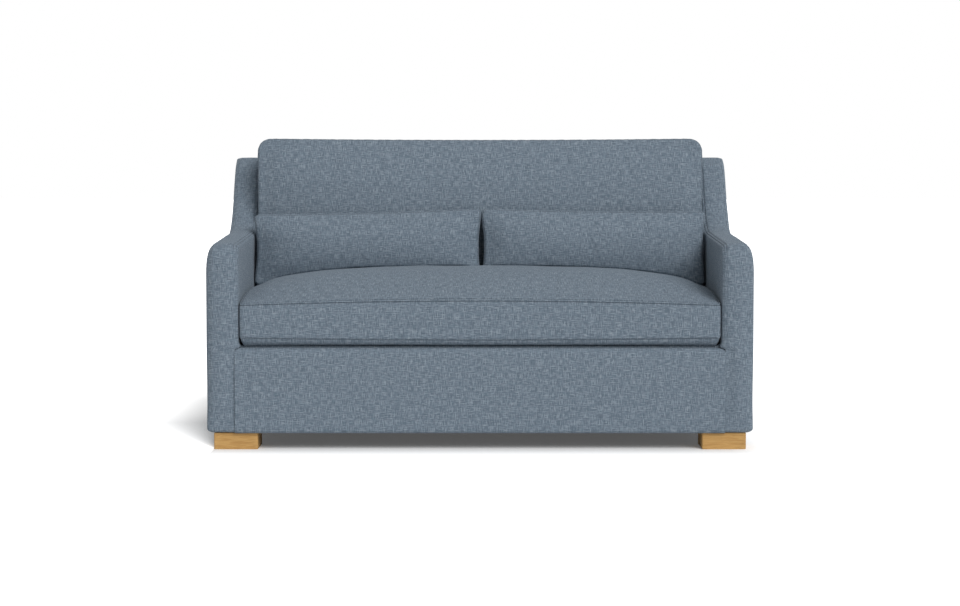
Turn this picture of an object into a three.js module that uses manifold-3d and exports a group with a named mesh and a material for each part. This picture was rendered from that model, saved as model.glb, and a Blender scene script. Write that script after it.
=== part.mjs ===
// High back settee: scoop arms, one bench seat cushion, one full-width back cushion and two lumbar
// cushions over a sprung hardwood frame, on four oak block feet. Millimetres, +Z up, +X to the
// viewer's right, and the sitter faces -Y. Inside the builders y is the distance behind the front
// of the arms, and the finished group is moved so that its origin is at the middle of the floor.

import * as THREE from 'three';
import { mergeVertices } from 'three/addons/utils/BufferGeometryUtils.js';
import Module from 'manifold-3d';

const wasm = await Module();
wasm.setup();

// Overall sizes
const overallWidth = 1676;
const overallDepth = 965;
const overallHeight = 965;
const footHeight = 52;
const deckHeight = 320;
const cushionStand = 53; // how far the back cushion stands above the back frame
const armWidth = 98;
const touch = 0.3; // clearance between pieces that rest on each other
const overrun = 20; // how far a cut runs past the face that it opens

// Arm outline
const armFrontHeight = 636;
const armSlopeHeight = 664;
const scoopLength = 335;
const scoopRearFlat = 85; // level top behind the scoop
const scoopLowHandleShare = 0.58;
const scoopHighHandleShare = 0.36;
const scoopStepCount = 12;
const armFrontRadius = 45;
const armBottomRadius = 22;
const armOuterRounding = 18;
const armInnerRounding = 6;
const roundingStepCount = 3;

// Padded covers
const wall = 16; // fabric on its padding
const backPanelThickness = 12;
const backPanelRounding = 9;
const baseTopRounding = 14;
const baseBottomRounding = 7;
const dustCoverThickness = 1.5;
const deckCoverThickness = 2;
const bandRounding = 18; // top edge of the inner back

// Back
const backRake = THREE.MathUtils.degToRad(7);
const backFootDepth = 225; // foot of the inner back to the rear of the settee

// Hardwood boards
const boardThickness = 24;
const deckRise = 41; // deck over the seat rails
const rearSeatRailHeight = 130;
const bottomRailHeight = 100;
const rearSeatRailSetback = 16;
const stretcherEndDrop = 55; // under the tops of the seat rails
const stretcherDip = 50;
const postDepth = 45;
const armRailDepth = 45;
const backPostDepth = 60;
const backLowerRailLift = 22;
const backLowerRailHeight = 60;
const backTopRailHeight = 80;
const cornerBlockLeg = 70;
const cornerBlockTip = 10;
const cornerBlockHeight = 72;

// Feet and their bolts
const footSize = 136;
const footSetback = 12;
const footSideSetback = 15;
const footCornerRadius = 3;
const footEase = 1.5;
const boltRadius = 4;
const boltHoleClearance = 0.3;
const boltInFoot = 34;
const boltInRail = 46;
const boltTip = 7;
const boltSideCount = 12;

// Seat springs
const springCount = 9;
const springWireRadius = 1.8;
const springSideCount = 4;
const springBarHalfLength = 14;
const springHalfWaveCount = 20;
const springTurnStepCount = 3;
const springRise = 20;
const springSideMargin = 82;
const clipStripThickness = 1.5;
const clipStripWidth = 20;
const clipStripEndMargin = 30;
const clipWidth = 14;
const clipLip = 3;
const tieWireRadius = 1.5;

// Back webbing
const webbingCount = 4;
const webbingWidth = 50;
const webbingThickness = 1.5;

// Loose cushions
const seatSideGap = 3;
const seatFrontSetback = 3;
const seatRearGap = 4;
const seatLowerSeam = 24;
const seatCornerSeam = 127;
const seatFrontSeamRise = 16;
const seatSideSeamRise = 33;
const seatCrown = 55;
const seatWrap = 24;
const seatCornerRadius = 14;
const backSideGap = 2;
const backSink = 103; // how far its uncut lower edge would lie under the seat's crest
const backEdgeThickness = 160;
const backCrown = 40;
const backRearCrown = 8;
const backWrap = 26;
const backCornerRadius = 40;
const lumbarSideGap = 2;
const lumbarMiddleGap = 3;
const lumbarLength = 256;
const lumbarSink = 101;
const lumbarEdgeThickness = 44;
const lumbarCrown = 44;
const lumbarRearCrown = 34;
const lumbarWrap = 14;
const lumbarCornerRadius = 26;
const zipSlit = 3;
const zipLengthShare = 0.6;
const leanSampleCount = 24;
const sidePull = 3; // how far the sides draw in between the corners
const endPull = 5;
const sideBulge = 3;
const crownAcrossPower = 4.5; // a higher power keeps a crown flat for longer
const crownAlongPower = 3;
const seatUnderPower = 30;
const rearCrownPower = 4;
const fineCells = { across: 18, along: 10, through: 3 };
const pillowCells = { across: 12, along: 8, through: 2 };
const coreCells = { across: 6, along: 4, through: 1 };

// Places worked out from the sizes above
const halfWidth = overallWidth / 2;
const armInner = halfWidth - armWidth;
const backHeight = overallHeight - cushionStand;
const scoopEnd = overallDepth - scoopRearFlat;
const scoopStart = scoopEnd - scoopLength;
const deckDepth = overallDepth - backFootDepth;
const frameHalf = armInner + wall; // ends of the rails, where the arm frames begin
const bodyBottom = footHeight + touch;
const frameBottom = bodyBottom + dustCoverThickness + touch;
const panelFront = overallDepth - backPanelThickness;
const frameRear = panelFront - touch;
const frameFront = wall + touch;
const frontRailRear = frameFront + boardThickness;
const deckFront = frontRailRear + touch;
const frontRailTop = deckHeight - deckRise;
const underDeckCover = deckHeight - deckCoverThickness - touch;
const bottomRailFront = frameRear - boardThickness;
const sideRailRear = bottomRailFront - touch;
const sideRailInner = frameHalf - boardThickness;
const rearSeatRailRear = deckDepth - rearSeatRailSetback;
const rearSeatRailFront = rearSeatRailRear - boardThickness;
const rakeTan = Math.tan(backRake);
const rakeCos = Math.cos(backRake);
const webbingFront = wall + touch;
const backRailFront = webbingFront + webbingThickness + touch;
const innerBackAt = (height) => deckDepth + (height - deckHeight) * rakeTan;

const cloth = new THREE.MeshStandardMaterial({ color: 0x6f7b88, roughness: 0.95, metalness: 0 });
const lining = new THREE.MeshStandardMaterial({ color: 0x2a2b2d, roughness: 0.95, metalness: 0 });
const decking = new THREE.MeshStandardMaterial({ color: 0x5f6871, roughness: 0.95, metalness: 0 });
const foam = new THREE.MeshStandardMaterial({ color: 0xe9e2cf, roughness: 0.9, metalness: 0 });
const webbing = new THREE.MeshStandardMaterial({ color: 0x8a7a5c, roughness: 0.9, metalness: 0 });
const hardwood = new THREE.MeshStandardMaterial({ color: 0xc9a777, roughness: 0.7, metalness: 0 });
const oak = new THREE.MeshStandardMaterial({ color: 0xb88e58, roughness: 0.55, metalness: 0 });
const steel = new THREE.MeshStandardMaterial({ color: 0x8d9096, roughness: 0.4, metalness: 0.9 });

const settee = new THREE.Group();
const backFrame = new THREE.Group(); // leans with the back, from the foot of the inner back
settee.add(backFrame);
settee.position.y = -overallDepth / 2;
backFrame.position.set(0, deckDepth, deckHeight);
backFrame.rotation.x = -backRake;
backFrame.updateMatrix();

const axisX = new THREE.Vector3(1, 0, 0);
const axisY = new THREE.Vector3(0, 1, 0);
const axisZ = new THREE.Vector3(0, 0, 1);
// A side outline drawn as (depth, height) and carried along the width
const sideways = new THREE.Matrix4().makeBasis(axisY, axisZ, axisX);
// A front outline drawn as (width, height) and carried towards the front
const frontways = new THREE.Matrix4().makeBasis(axisX, axisZ, axisY.clone().negate());

function add(name, geometry, material, parent = settee) {
  const mesh = new THREE.Mesh(geometry, material);
  mesh.name = name;
  parent.add(mesh);
}

// A closed mesh as a solid that can be cut and joined
function toSolid(geometry) {
  const bare = geometry.clone();
  bare.deleteAttribute('normal');
  bare.deleteAttribute('uv');
  const merged = mergeVertices(bare);
  const vertProperties = new Float32Array(merged.attributes.position.array);
  const triVerts = new Uint32Array(merged.index.array);
  return new wasm.Manifold(new wasm.Mesh({ numProp: 3, vertProperties, triVerts }));
}

function toGeometry(solid) {
  const mesh = solid.getMesh();
  const geometry = new THREE.BufferGeometry();
  geometry.setAttribute('position', new THREE.BufferAttribute(mesh.vertProperties, mesh.numProp));
  geometry.setIndex(new THREE.BufferAttribute(mesh.triVerts, 1));
  geometry.computeVertexNormals();
  return geometry;
}

// The same geometry on the other side of the middle plane
function mirrored(geometry) {
  const copy = geometry.clone().scale(-1, 1, 1);
  const index = copy.index.array;
  for (let i = 0; i < index.length; i += 3) [index[i], index[i + 1]] = [index[i + 1], index[i]];
  copy.computeVertexNormals();
  return copy;
}

function addPair(name, geometry, material, parent = settee) {
  const right = mergeVertices(geometry);
  add(`right_${name}`, right, material, parent);
  add(`left_${name}`, mirrored(right), material, parent);
}

// A board between two corners
function board(x0, x1, y0, y1, z0, z1) {
  const geometry = new THREE.BoxGeometry(x1 - x0, y1 - y0, z1 - z0);
  return geometry.translate((x0 + x1) / 2, (y0 + y1) / 2, (z0 + z1) / 2);
}

function point(u, v) {
  return new THREE.Vector2(u, v);
}

// An outline of (depth, height) points as a solid from width x0 to width x1
function sideProfile(points, x0, x1) {
  const shape = new THREE.Shape(points);
  const geometry = new THREE.ExtrudeGeometry(shape, { depth: x1 - x0, bevelEnabled: false });
  return geometry.translate(0, 0, x0).applyMatrix4(sideways);
}

// Points of an arc about a centre, both ends included, between two counts of quarter turns
function arc(centreU, centreV, radius, fromQuarter, toQuarter) {
  const points = [];
  for (let i = 0; i <= roundingStepCount; i++) {
    const angle = (Math.PI / 2) * (fromQuarter + ((toQuarter - fromQuarter) * i) / roundingStepCount);
    points.push(point(centreU + radius * Math.cos(angle), centreV + radius * Math.sin(angle)));
  }
  return points;
}

// A closed loft through one outline per station, with flat ends. Each station has a place along the
// loft and the inset of its outline, and every outline has the same number of points.
function loft(outlineAt, stations, frame) {
  const outlines = stations.map((station) => outlineAt(station.inset));
  const count = outlines[0].length;
  const positions = [];
  outlines.forEach((outline, ring) => {
    for (const { x, y } of outline) positions.push(x, y, stations[ring].at);
  });
  const indices = [];
  for (let ring = 0; ring + 1 < outlines.length; ring++) {
    for (let i = 0; i < count; i++) {
      const a = ring * count + i;
      const b = ring * count + ((i + 1) % count);
      indices.push(a, b, b + count, a, b + count, a + count);
    }
  }
  const last = (outlines.length - 1) * count;
  for (const [a, b, c] of THREE.ShapeUtils.triangulateShape(outlines[0], [])) indices.push(c, b, a);
  for (const [a, b, c] of THREE.ShapeUtils.triangulateShape(outlines[outlines.length - 1], [])) {
    indices.push(last + a, last + b, last + c);
  }
  const geometry = new THREE.BufferGeometry();
  geometry.setAttribute('position', new THREE.Float32BufferAttribute(positions, 3));
  geometry.setIndex(indices);
  geometry.applyMatrix4(frame);
  geometry.computeVertexNormals();
  return geometry;
}

// Stations of a quarter-round edge that ends at a face. A positive side runs out to the face, and a
// negative side starts from it.
function roundedEdge(face, radius, side) {
  const stations = [];
  for (let i = 0; i <= roundingStepCount; i++) {
    const angle = ((side > 0 ? i : roundingStepCount - i) / roundingStepCount) * (Math.PI / 2);
    const inset = radius * (1 - Math.cos(angle));
    stations.push({ at: face - side * radius * (1 - Math.sin(angle)), inset });
  }
  return stations;
}

// The scoop arm seen from the side, drawn in by an inset, with its own bottom and rear edges. The
// points run counter-clockwise: bottom front corner, rear, top from rear to front, front corner.
function armOutline(inset, bottom, rear) {
  const lowCentre = bottom + armBottomRadius - inset;
  const topCentre = armFrontHeight - armFrontRadius;
  const slope = (armSlopeHeight - armFrontHeight) / (scoopStart - armFrontRadius);
  const lowReach = scoopLowHandleShare * scoopLength;
  const scoop = new THREE.CubicBezierCurve(
    point(scoopStart, armSlopeHeight),
    point(scoopStart + lowReach, armSlopeHeight + slope * lowReach),
    point(scoopEnd - scoopHighHandleShare * scoopLength, backHeight),
    point(scoopEnd, backHeight),
  );
  const crest = [];
  for (let i = scoopStepCount; i >= 0; i--) {
    const place = scoop.getPoint(i / scoopStepCount);
    const along = scoop.getTangent(i / scoopStepCount);
    crest.push(point(place.x + along.y * inset, place.y - along.x * inset));
  }
  return [
    ...arc(armBottomRadius, lowCentre, armBottomRadius - inset, 2, 3),
    point(rear, bottom),
    point(rear, backHeight - inset),
    ...crest,
    ...arc(armFrontRadius, topCentre, armFrontRadius - inset, 1, 2),
  ];
}

// The inside of an arm cover, or the wood that fills it, between two widths
function armCore(inset, bottom, rear, x0, x1) {
  return toSolid(sideProfile(armOutline(inset, bottom, rear), x0, x1));
}

function buildArms() {
  const stations = [
    ...roundedEdge(armInner, armInnerRounding, -1),
    ...roundedEdge(halfWidth, armOuterRounding, 1),
  ];
  const outlineAt = (inset) => armOutline(inset, bodyBottom + inset, frameRear);
  const cavity = armCore(wall, bodyBottom - overrun, frameRear + overrun, frameHalf, halfWidth - wall);
  // The inner wall stops at the deck and behind the inner back, where the frame passes through
  const cutFrom = armInner - overrun;
  const cutTo = frameHalf + touch;
  const rearEnd = frameRear + overrun;
  const belowDeck = board(cutFrom, cutTo, -overrun, rearEnd, 0, deckHeight + touch);
  const bandUnder = backHeight - wall - touch;
  const cutLow = deckHeight - overrun;
  const behindFace = (height) => point(innerBackAt(height) + (wall + touch) / rakeCos, height);
  const behindOutline = [
    behindFace(cutLow),
    point(rearEnd, cutLow),
    point(rearEnd, bandUnder),
    behindFace(bandUnder),
  ];
  const cover = toSolid(loft(outlineAt, stations, sideways))
    .subtract(cavity)
    .subtract(toSolid(belowDeck))
    .subtract(toSolid(sideProfile(behindOutline, cutFrom, cutTo)));
  addPair('arm_cover', toGeometry(cover), cloth);

  // Scooped top rail, front post and raked back post, cut from the hollow of the cover
  const x0 = frameHalf + touch;
  const x1 = halfWidth - wall - touch;
  const postRear = frameFront + postDepth;
  const core = armCore(wall + touch, frameBottom, frameRear, x0, x1);
  const zone = (y0, y1, z0) => toSolid(board(x0 - overrun, x1 + overrun, y0, y1, z0, overallHeight));
  const topRail = core
    .intersect(zone(postRear + touch, rearEnd, 0))
    .subtract(core.translate([0, 0, -armRailDepth]));
  addPair('arm_top_rail', toGeometry(topRail), hardwood);
  addPair('arm_front_post', toGeometry(core.intersect(zone(0, postRear, 0))), hardwood);
  const postFront = backRailFront;
  const leaning = board(x0, x1, postFront, postFront + backPostDepth, -deckHeight, overallHeight);
  const backPost = core
    .translate([0, 0, -armRailDepth - touch])
    .intersect(toSolid(leaning.applyMatrix4(backFrame.matrix)))
    .intersect(zone(0, overallDepth, frameBottom));
  addPair('back_post', toGeometry(backPost), hardwood);
}

function buildBaseAndBackCovers() {
  // Front of the base: a padded face with a firm roll on top of the front rail
  const rollUnder = clipTop + touch;
  const profile = [
    ...arc(baseBottomRounding, bodyBottom + baseBottomRounding, baseBottomRounding, 2, 3),
    point(wall, bodyBottom),
    point(wall, rollUnder),
    point(frontRailRear, rollUnder),
    point(frontRailRear, deckHeight),
    ...arc(baseTopRounding, deckHeight - baseTopRounding, baseTopRounding, 1, 2),
  ];
  add('base_front_cover', sideProfile(profile, -frameHalf, frameHalf), cloth);

  // Inside back and the band over the top rail, one padded sheet
  const half = armInner - touch;
  const face = (height, offset) => point(innerBackAt(height) + offset / rakeCos, height);
  const bandUnder = backHeight - wall;
  const crownCentre = innerBackAt(backHeight) + bandRounding;
  const band = [
    face(deckHeight, 0),
    face(deckHeight, wall),
    face(bandUnder, wall),
    point(frameRear, bandUnder),
    point(frameRear, backHeight),
    ...arc(crownCentre, backHeight - bandRounding, bandRounding, 1, 2 - backRake / (Math.PI / 2)),
  ];
  add('inner_back_cover', sideProfile(band, -half, half), cloth);

  // Outside back: one flat padded panel with eased edges
  const outline = (inset) => {
    const radius = armOuterRounding - inset;
    const side = halfWidth - inset - radius;
    const top = backHeight - inset - radius;
    const bottom = bodyBottom + inset + radius;
    return [
      ...arc(-side, bottom, radius, 2, 3),
      ...arc(side, bottom, radius, 3, 4),
      ...arc(side, top, radius, 0, 1),
      ...arc(-side, top, radius, 1, 2),
    ];
  };
  const stations = [...roundedEdge(-overallDepth, backPanelRounding, -1), { at: -panelFront, inset: 0 }];
  add('outer_back_cover', loft(outline, stations, frontways), cloth);
}

// Hardwood seat box between the arms
function buildSeatFrame() {
  const inner = sideRailInner - touch;
  const rearLow = frontRailTop - rearSeatRailHeight;
  const frontRail = board(-frameHalf, frameHalf, frameFront, frontRailRear, frameBottom, frontRailTop);
  const rearRail = board(-inner, inner, rearSeatRailFront, rearSeatRailRear, rearLow, frontRailTop);
  const bottomTop = frameBottom + bottomRailHeight;
  const bottomRail = board(-frameHalf, frameHalf, bottomRailFront, frameRear, frameBottom, bottomTop);
  add('front_rail', frontRail, hardwood);
  add('rear_seat_rail', rearRail, hardwood);
  add('back_bottom_rail', bottomRail, hardwood);

  // Side rails, bored from below for the foot bolts
  const plank = board(sideRailInner, frameHalf, deckFront, sideRailRear, frameBottom, underDeckCover);
  let sideRail = toSolid(plank);
  for (const y of footCentres) {
    sideRail = sideRail.subtract(boltBore(y, frameBottom - overrun, frameBottom + boltInRail + touch));
  }
  addPair('side_rail', toGeometry(sideRail), hardwood);

  // Centre stretcher, hollowed along its top so that the springs can sink
  const y0 = deckFront;
  const y1 = rearSeatRailFront - touch;
  const endZ = frontRailTop - stretcherEndDrop;
  const handleZ = endZ - 2 * stretcherDip;
  const dip = new THREE.QuadraticBezierCurve(point(y1, endZ), point((y0 + y1) / 2, handleZ), point(y0, endZ));
  const side = [point(y0, frameBottom), point(y1, frameBottom), ...dip.getPoints(scoopStepCount)];
  add('centre_stretcher', sideProfile(side, -boardThickness / 2, boardThickness / 2), hardwood);

  // Glued corner blocks
  const leg = cornerBlockLeg;
  for (const [place, y, way] of [['front', deckFront, 1], ['rear', sideRailRear, -1]]) {
    const corners = [
      point(inner, y),
      point(inner, y + way * leg),
      point(inner - cornerBlockTip, y + way * leg),
      point(inner - leg, y + way * cornerBlockTip),
      point(inner - leg, y),
    ];
    const shape = new THREE.Shape(corners);
    const block = new THREE.ExtrudeGeometry(shape, { depth: cornerBlockHeight, bevelEnabled: false });
    addPair(`${place}_corner_block`, block.translate(0, 0, frameBottom), hardwood);
  }
}

// Rails between the back posts, and the webbing nailed over them
function buildBackFrame() {
  const y0 = backRailFront;
  const y1 = backRailFront + boardThickness;
  const low0 = backLowerRailLift;
  const low1 = low0 + backLowerRailHeight;
  const top1 = (backHeight - wall - touch - deckHeight) / rakeCos;
  const top0 = top1 - backTopRailHeight;
  const half = boardThickness / 2;
  add('back_lower_rail', board(-frameHalf, frameHalf, y0, y1, low0, low1), hardwood, backFrame);
  add('back_top_rail', board(-frameHalf, frameHalf, y0, y1, top0, top1), hardwood, backFrame);
  add('back_centre_post', board(-half, half, y0, y1, low1 + touch, top0 - touch), hardwood, backFrame);
  const pitch = (2 * armInner) / (webbingCount + 1);
  const stripTop = top1 - webbingWidth / 2;
  for (let i = 0; i < webbingCount; i++) {
    const x0 = -armInner + pitch * (i + 1) - webbingWidth / 2;
    const strip = board(x0, x0 + webbingWidth, webbingFront, y0 - touch, low0, stripTop);
    add(`back_webbing_${i + 1}`, strip, webbing, backFrame);
  }
}

const footCentreX = halfWidth - footSideSetback - footSize / 2;
const boltX = sideRailInner + boardThickness / 2;
const footCentres = [footSetback + footSize / 2, overallDepth - footSetback - footSize / 2];

// A hole for a foot bolt on the right side, from z0 to z1
function boltBore(y, z0, z1) {
  const radius = boltRadius + boltHoleClearance;
  const bore = new THREE.CylinderGeometry(radius, radius, z1 - z0, boltSideCount);
  return toSolid(bore.rotateX(Math.PI / 2).translate(boltX, y, (z0 + z1) / 2));
}

function buildFeet() {
  const reach = footSize / 2 - footEase - footCornerRadius;
  const outline = [
    ...arc(reach, reach, footCornerRadius, 0, 1),
    ...arc(-reach, reach, footCornerRadius, 1, 2),
    ...arc(-reach, -reach, footCornerRadius, 2, 3),
    ...arc(reach, -reach, footCornerRadius, 3, 4),
  ];
  // Hanger bolt, pointed at its rail end
  const low = footHeight - boltInFoot;
  const high = frameBottom + boltInRail;
  const boltOutline = [
    point(0, low),
    point(boltRadius, low),
    point(boltRadius, high - boltTip),
    point(0, high),
  ];
  ['front', 'rear'].forEach((place, i) => {
    const y = footCentres[i];
    const block = new THREE.ExtrudeGeometry(new THREE.Shape(outline), {
      depth: footHeight - 2 * footEase,
      bevelThickness: footEase,
      bevelSize: footEase,
      bevelSegments: 1,
    });
    const foot = toSolid(block.translate(footCentreX, y, footEase));
    const bored = foot.subtract(boltBore(y, low - touch, footHeight + overrun));
    addPair(`${place}_foot`, toGeometry(bored), oak);
    const bolt = new THREE.LatheGeometry(boltOutline, boltSideCount).rotateX(Math.PI / 2);
    addPair(`${place}_foot_bolt`, toGeometry(toSolid(bolt.translate(boltX, y, 0))), steel);
  });
}

// Dust cover stapled under the frame, pierced for the bolts
function buildDustCover() {
  const half = halfWidth - wall - touch;
  const top = bodyBottom + dustCoverThickness;
  let sheet = toSolid(board(-half, half, frameFront, frameRear, bodyBottom, top));
  for (const y of footCentres) {
    const hole = boltBore(y, bodyBottom - overrun, top + overrun);
    sheet = sheet.subtract(hole).subtract(hole.mirror([1, 0, 0]));
  }
  add('dust_cover', toGeometry(sheet), lining);
}

// Sinuous seat spring: straight bars across, joined by round turns, on a low arch from clip to clip
const springStartY = frameFront + boardThickness / 2;
const springEndY = rearSeatRailFront + boardThickness / 2;
const springEndHeight = frontRailTop + touch + clipStripThickness + touch + springWireRadius;
const clipTop = springEndHeight + springWireRadius + touch + clipStripThickness;

// Height of the arch that rises between the two clips
function springArch(y, endHeight, rise) {
  const middle = (springStartY + springEndY) / 2;
  const reach = (springEndY - springStartY) / 2;
  return endHeight + rise * (1 - ((y - middle) / reach) ** 2);
}

class SinuousCurve extends THREE.Curve {
  // Each half wave is one bar and springTurnStepCount chords of its turn, so the steps stay on the wire
  getPoint(t, target = new THREE.Vector3()) {
    const stepsPerWave = springTurnStepCount + 1;
    const total = springHalfWaveCount * stepsPerWave + 1;
    const place = Math.min(t * total, total);
    const whole = Math.min(Math.floor(place), total - 1);
    const from = this.corner(whole);
    return target.copy(from).lerp(this.corner(whole + 1), place - whole);
  }

  corner(step) {
    const stepsPerWave = springTurnStepCount + 1;
    const wave = Math.floor(step / stepsPerWave);
    const inTurn = step % stepsPerWave;
    const pitch = (springEndY - springStartY) / springHalfWaveCount;
    const side = wave % 2 === 0 ? 1 : -1;
    if (inTurn === 0) return this.onArch(-side * springBarHalfLength, springStartY + wave * pitch);
    const angle = -Math.PI / 2 + (Math.PI * (inTurn - 1)) / springTurnStepCount;
    const x = side * (springBarHalfLength + (pitch / 2) * Math.cos(angle));
    return this.onArch(x, springStartY + (wave + 1 / 2) * pitch + (pitch / 2) * Math.sin(angle));
  }

  onArch(x, y) {
    return new THREE.Vector3(x, y, springArch(y, springEndHeight, springRise));
  }

  getPointAt(u, target) {
    return this.getPoint(u, target);
  }

  getTangentAt(u, target) {
    return this.getTangent(u, target);
  }
}

function buildSprings() {
  const ring = [];
  for (let i = 0; i < springSideCount; i++) {
    const angle = (2 * Math.PI * i) / springSideCount;
    ring.push(point(springWireRadius * Math.cos(angle), springWireRadius * Math.sin(angle)));
  }
  const wire = new THREE.ExtrudeGeometry(new THREE.Shape(ring), {
    steps: springHalfWaveCount * (springTurnStepCount + 1) + 1,
    extrudePath: new SinuousCurve(),
    bevelEnabled: false,
  });
  const half = sideRailInner - springSideMargin;
  const places = [];
  for (let i = 0; i < springCount; i++) {
    const x = -half + (2 * half * i) / (springCount - 1);
    places.push(x);
    add(`seat_spring_${i + 1}`, wire.clone().translate(x, 0, 0), steel);
  }

  // Clip strips: a steel strip on the rail with one hook over the end bar of each spring
  const stripHalf = sideRailInner - clipStripEndMargin;
  const low = frontRailTop + touch;
  const inner = springWireRadius + touch;
  for (const [name, y, way] of [['front', springStartY, 1], ['rear', springEndY, -1]]) {
    const wide = clipStripWidth / 2;
    let strip = toSolid(board(-stripHalf, stripHalf, y - wide, y + wide, low, low + clipStripThickness));
    const hook = [
      point(y + way * inner, low),
      point(y + way * (inner + clipStripThickness), low),
      point(y + way * (inner + clipStripThickness), clipTop),
      point(y - way * clipLip, clipTop),
      point(y - way * clipLip, clipTop - clipStripThickness),
      point(y + way * inner, clipTop - clipStripThickness),
    ];
    for (const x of places) {
      strip = strip.add(toSolid(sideProfile(hook, x - clipWidth / 2, x + clipWidth / 2)));
    }
    add(`${name}_spring_clip_strip`, toGeometry(strip), steel);
  }

  // Tie wire across the springs, under their middle bars
  const tieHalf = sideRailInner - touch;
  const tieZ = springEndHeight + springRise - springWireRadius - touch - tieWireRadius;
  const tie = new THREE.CylinderGeometry(tieWireRadius, tieWireRadius, 2 * tieHalf, boltSideCount);
  tie.rotateZ(Math.PI / 2).translate(0, (springStartY + springEndY) / 2, tieZ);
  add('spring_tie_wire', tie, steel);
}

// Pad over the springs, flat on top and arched below, and the decking cloth over it
function buildDeck() {
  const half = sideRailInner - touch;
  const rear = deckDepth - touch;
  const low = clipTop + touch;
  const rise = springEndHeight + springRise + springWireRadius + touch - low;
  const points = [];
  for (let i = 0; i <= scoopStepCount; i++) {
    const y = deckFront + ((rearSeatRailFront - deckFront) * i) / scoopStepCount;
    points.push(point(y, springArch(y, low, rise)));
  }
  points.push(
    point(rear, low),
    point(rear, underDeckCover),
    point(deckFront, underDeckCover),
  );
  add('deck_pad', sideProfile(points, -half, half), foam);
  const coverHalf = armInner - touch;
  const coverLow = deckHeight - deckCoverThickness;
  add('deck_cover', board(-coverHalf, coverHalf, deckFront, rear, coverLow, deckHeight), decking);
}

// Cushion forms. u and v run from -1 to 1 across and along the cushion, w through its thickness.
const seatForm = {
  halfAcross: armInner - seatSideGap,
  halfAlong: (deckDepth - seatFrontSetback - seatRearGap) / 2,
  edgeLow: seatLowerSeam,
  edgeHigh: seatCornerSeam,
  acrossRise: seatFrontSeamRise,
  alongRise: seatSideSeamRise,
  crown: seatCrown,
  underCrown: seatLowerSeam,
  underPower: seatUnderPower,
  cornerRadius: seatCornerRadius,
};
const seatCrest = seatForm.edgeHigh + seatForm.acrossRise + seatForm.alongRise + seatForm.crown;
const backLift = seatCrest - backSink;
const lumbarLift = seatCrest - lumbarSink;
const backForm = {
  halfAcross: armInner - backSideGap,
  halfAlong: (overallHeight - deckHeight - backLift) / 2,
  edgeLow: backRearCrown,
  edgeHigh: backRearCrown + backEdgeThickness,
  acrossRise: 0,
  alongRise: 0,
  crown: backCrown,
  underCrown: backRearCrown,
  underPower: rearCrownPower,
  cornerRadius: backCornerRadius,
};
const lumbarForm = {
  halfAcross: (2 * armInner - 2 * lumbarSideGap - lumbarMiddleGap) / 4,
  halfAlong: lumbarLength / 2,
  edgeLow: lumbarRearCrown,
  edgeHigh: lumbarRearCrown + lumbarEdgeThickness,
  acrossRise: 0,
  alongRise: 0,
  crown: lumbarCrown,
  underCrown: lumbarRearCrown,
  underPower: rearCrownPower,
  cornerRadius: lumbarCornerRadius,
};

function surfaceHigh(form, u, v) {
  const seam = form.edgeHigh + form.acrossRise * (1 - u * u) + form.alongRise * (1 - v * v);
  return seam + form.crown * (1 - Math.abs(u) ** crownAcrossPower) * (1 - Math.abs(v) ** crownAlongPower);
}

function surfaceLow(form, u, v) {
  const flat = (1 - Math.abs(u) ** form.underPower) * (1 - Math.abs(v) ** form.underPower);
  return form.edgeLow - form.underCrown * flat;
}

// Bends the square corner of a plan into a quarter circle
function roundCorner(x, y, spanX, spanY, radius) {
  const overX = Math.abs(x) - (spanX - radius);
  const overY = Math.abs(y) - (spanY - radius);
  if (overX <= 0 || overY <= 0) return [x, y];
  const pull = Math.max(overX, overY) / Math.hypot(overX, overY);
  return [Math.sign(x) * (spanX - radius + overX * pull), Math.sign(y) * (spanY - radius + overY * pull)];
}

// A box whose faces are swelled into a crowned cushion with drawn-in sides, shrunk by an inset
function cushion(form, cells, inset = 0) {
  const box = new THREE.BoxGeometry(2, 2, 2, cells.across, cells.along, cells.through);
  const place = box.attributes.position;
  const bunch = (share) => Math.sin((share * Math.PI) / 2);
  for (let i = 0; i < place.count; i++) {
    const u = bunch(place.getX(i));
    const v = bunch(place.getY(i));
    const w = place.getZ(i);
    const edge = sideBulge * w * w + inset;
    const spanAcross = form.halfAcross - edge - sidePull * (1 - v * v);
    const spanAlong = form.halfAlong - edge - endPull * (1 - u * u);
    const [x, y] = roundCorner(u * spanAcross, v * spanAlong, spanAcross, spanAlong, form.cornerRadius);
    const low = surfaceLow(form, u, v) + inset;
    const high = surfaceHigh(form, u, v) - inset;
    place.setXYZ(i, x, y, low + ((high - low) * (w + 1)) / 2);
  }
  return box;
}

// Lay a cushion form against the back: its crown to the front, its length up the back
function leanBack(geometry, x, away, rise) {
  return geometry.rotateX(Math.PI / 2).translate(x, -away, rise).applyMatrix4(backFrame.matrix);
}

function seatAt(geometry) {
  return geometry.translate(0, seatFrontSetback + seatForm.halfAlong, deckHeight + touch);
}

// A cover with its zip slit, and the core that lies in it with a clearance all round. The piece is
// made at a given inset, so the cover, its hollow and its core are one form at three sizes.
function addCushion(addTo, name, piece, cells, wrap, slit) {
  const hollow = piece(coreCells, wrap);
  const cover = piece(cells, 0).subtract(hollow).subtract(toSolid(slit));
  addTo(`${name}_cover`, toGeometry(cover), cloth);
  addTo(`${name}_core`, toGeometry(piece(coreCells, wrap + touch)), foam);
}

// A slit in the lower edge of a leaning cushion, from below it to its middle
function leaningSlit(form, edgeThickness, x, away, rise) {
  const half = zipLengthShare * form.halfAcross;
  const at = form.edgeLow + (edgeThickness - zipSlit) / 2;
  const slit = board(-half, half, -form.halfAlong - overrun, 0, at, at + zipSlit);
  return leanBack(slit, x, away, rise);
}

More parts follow.
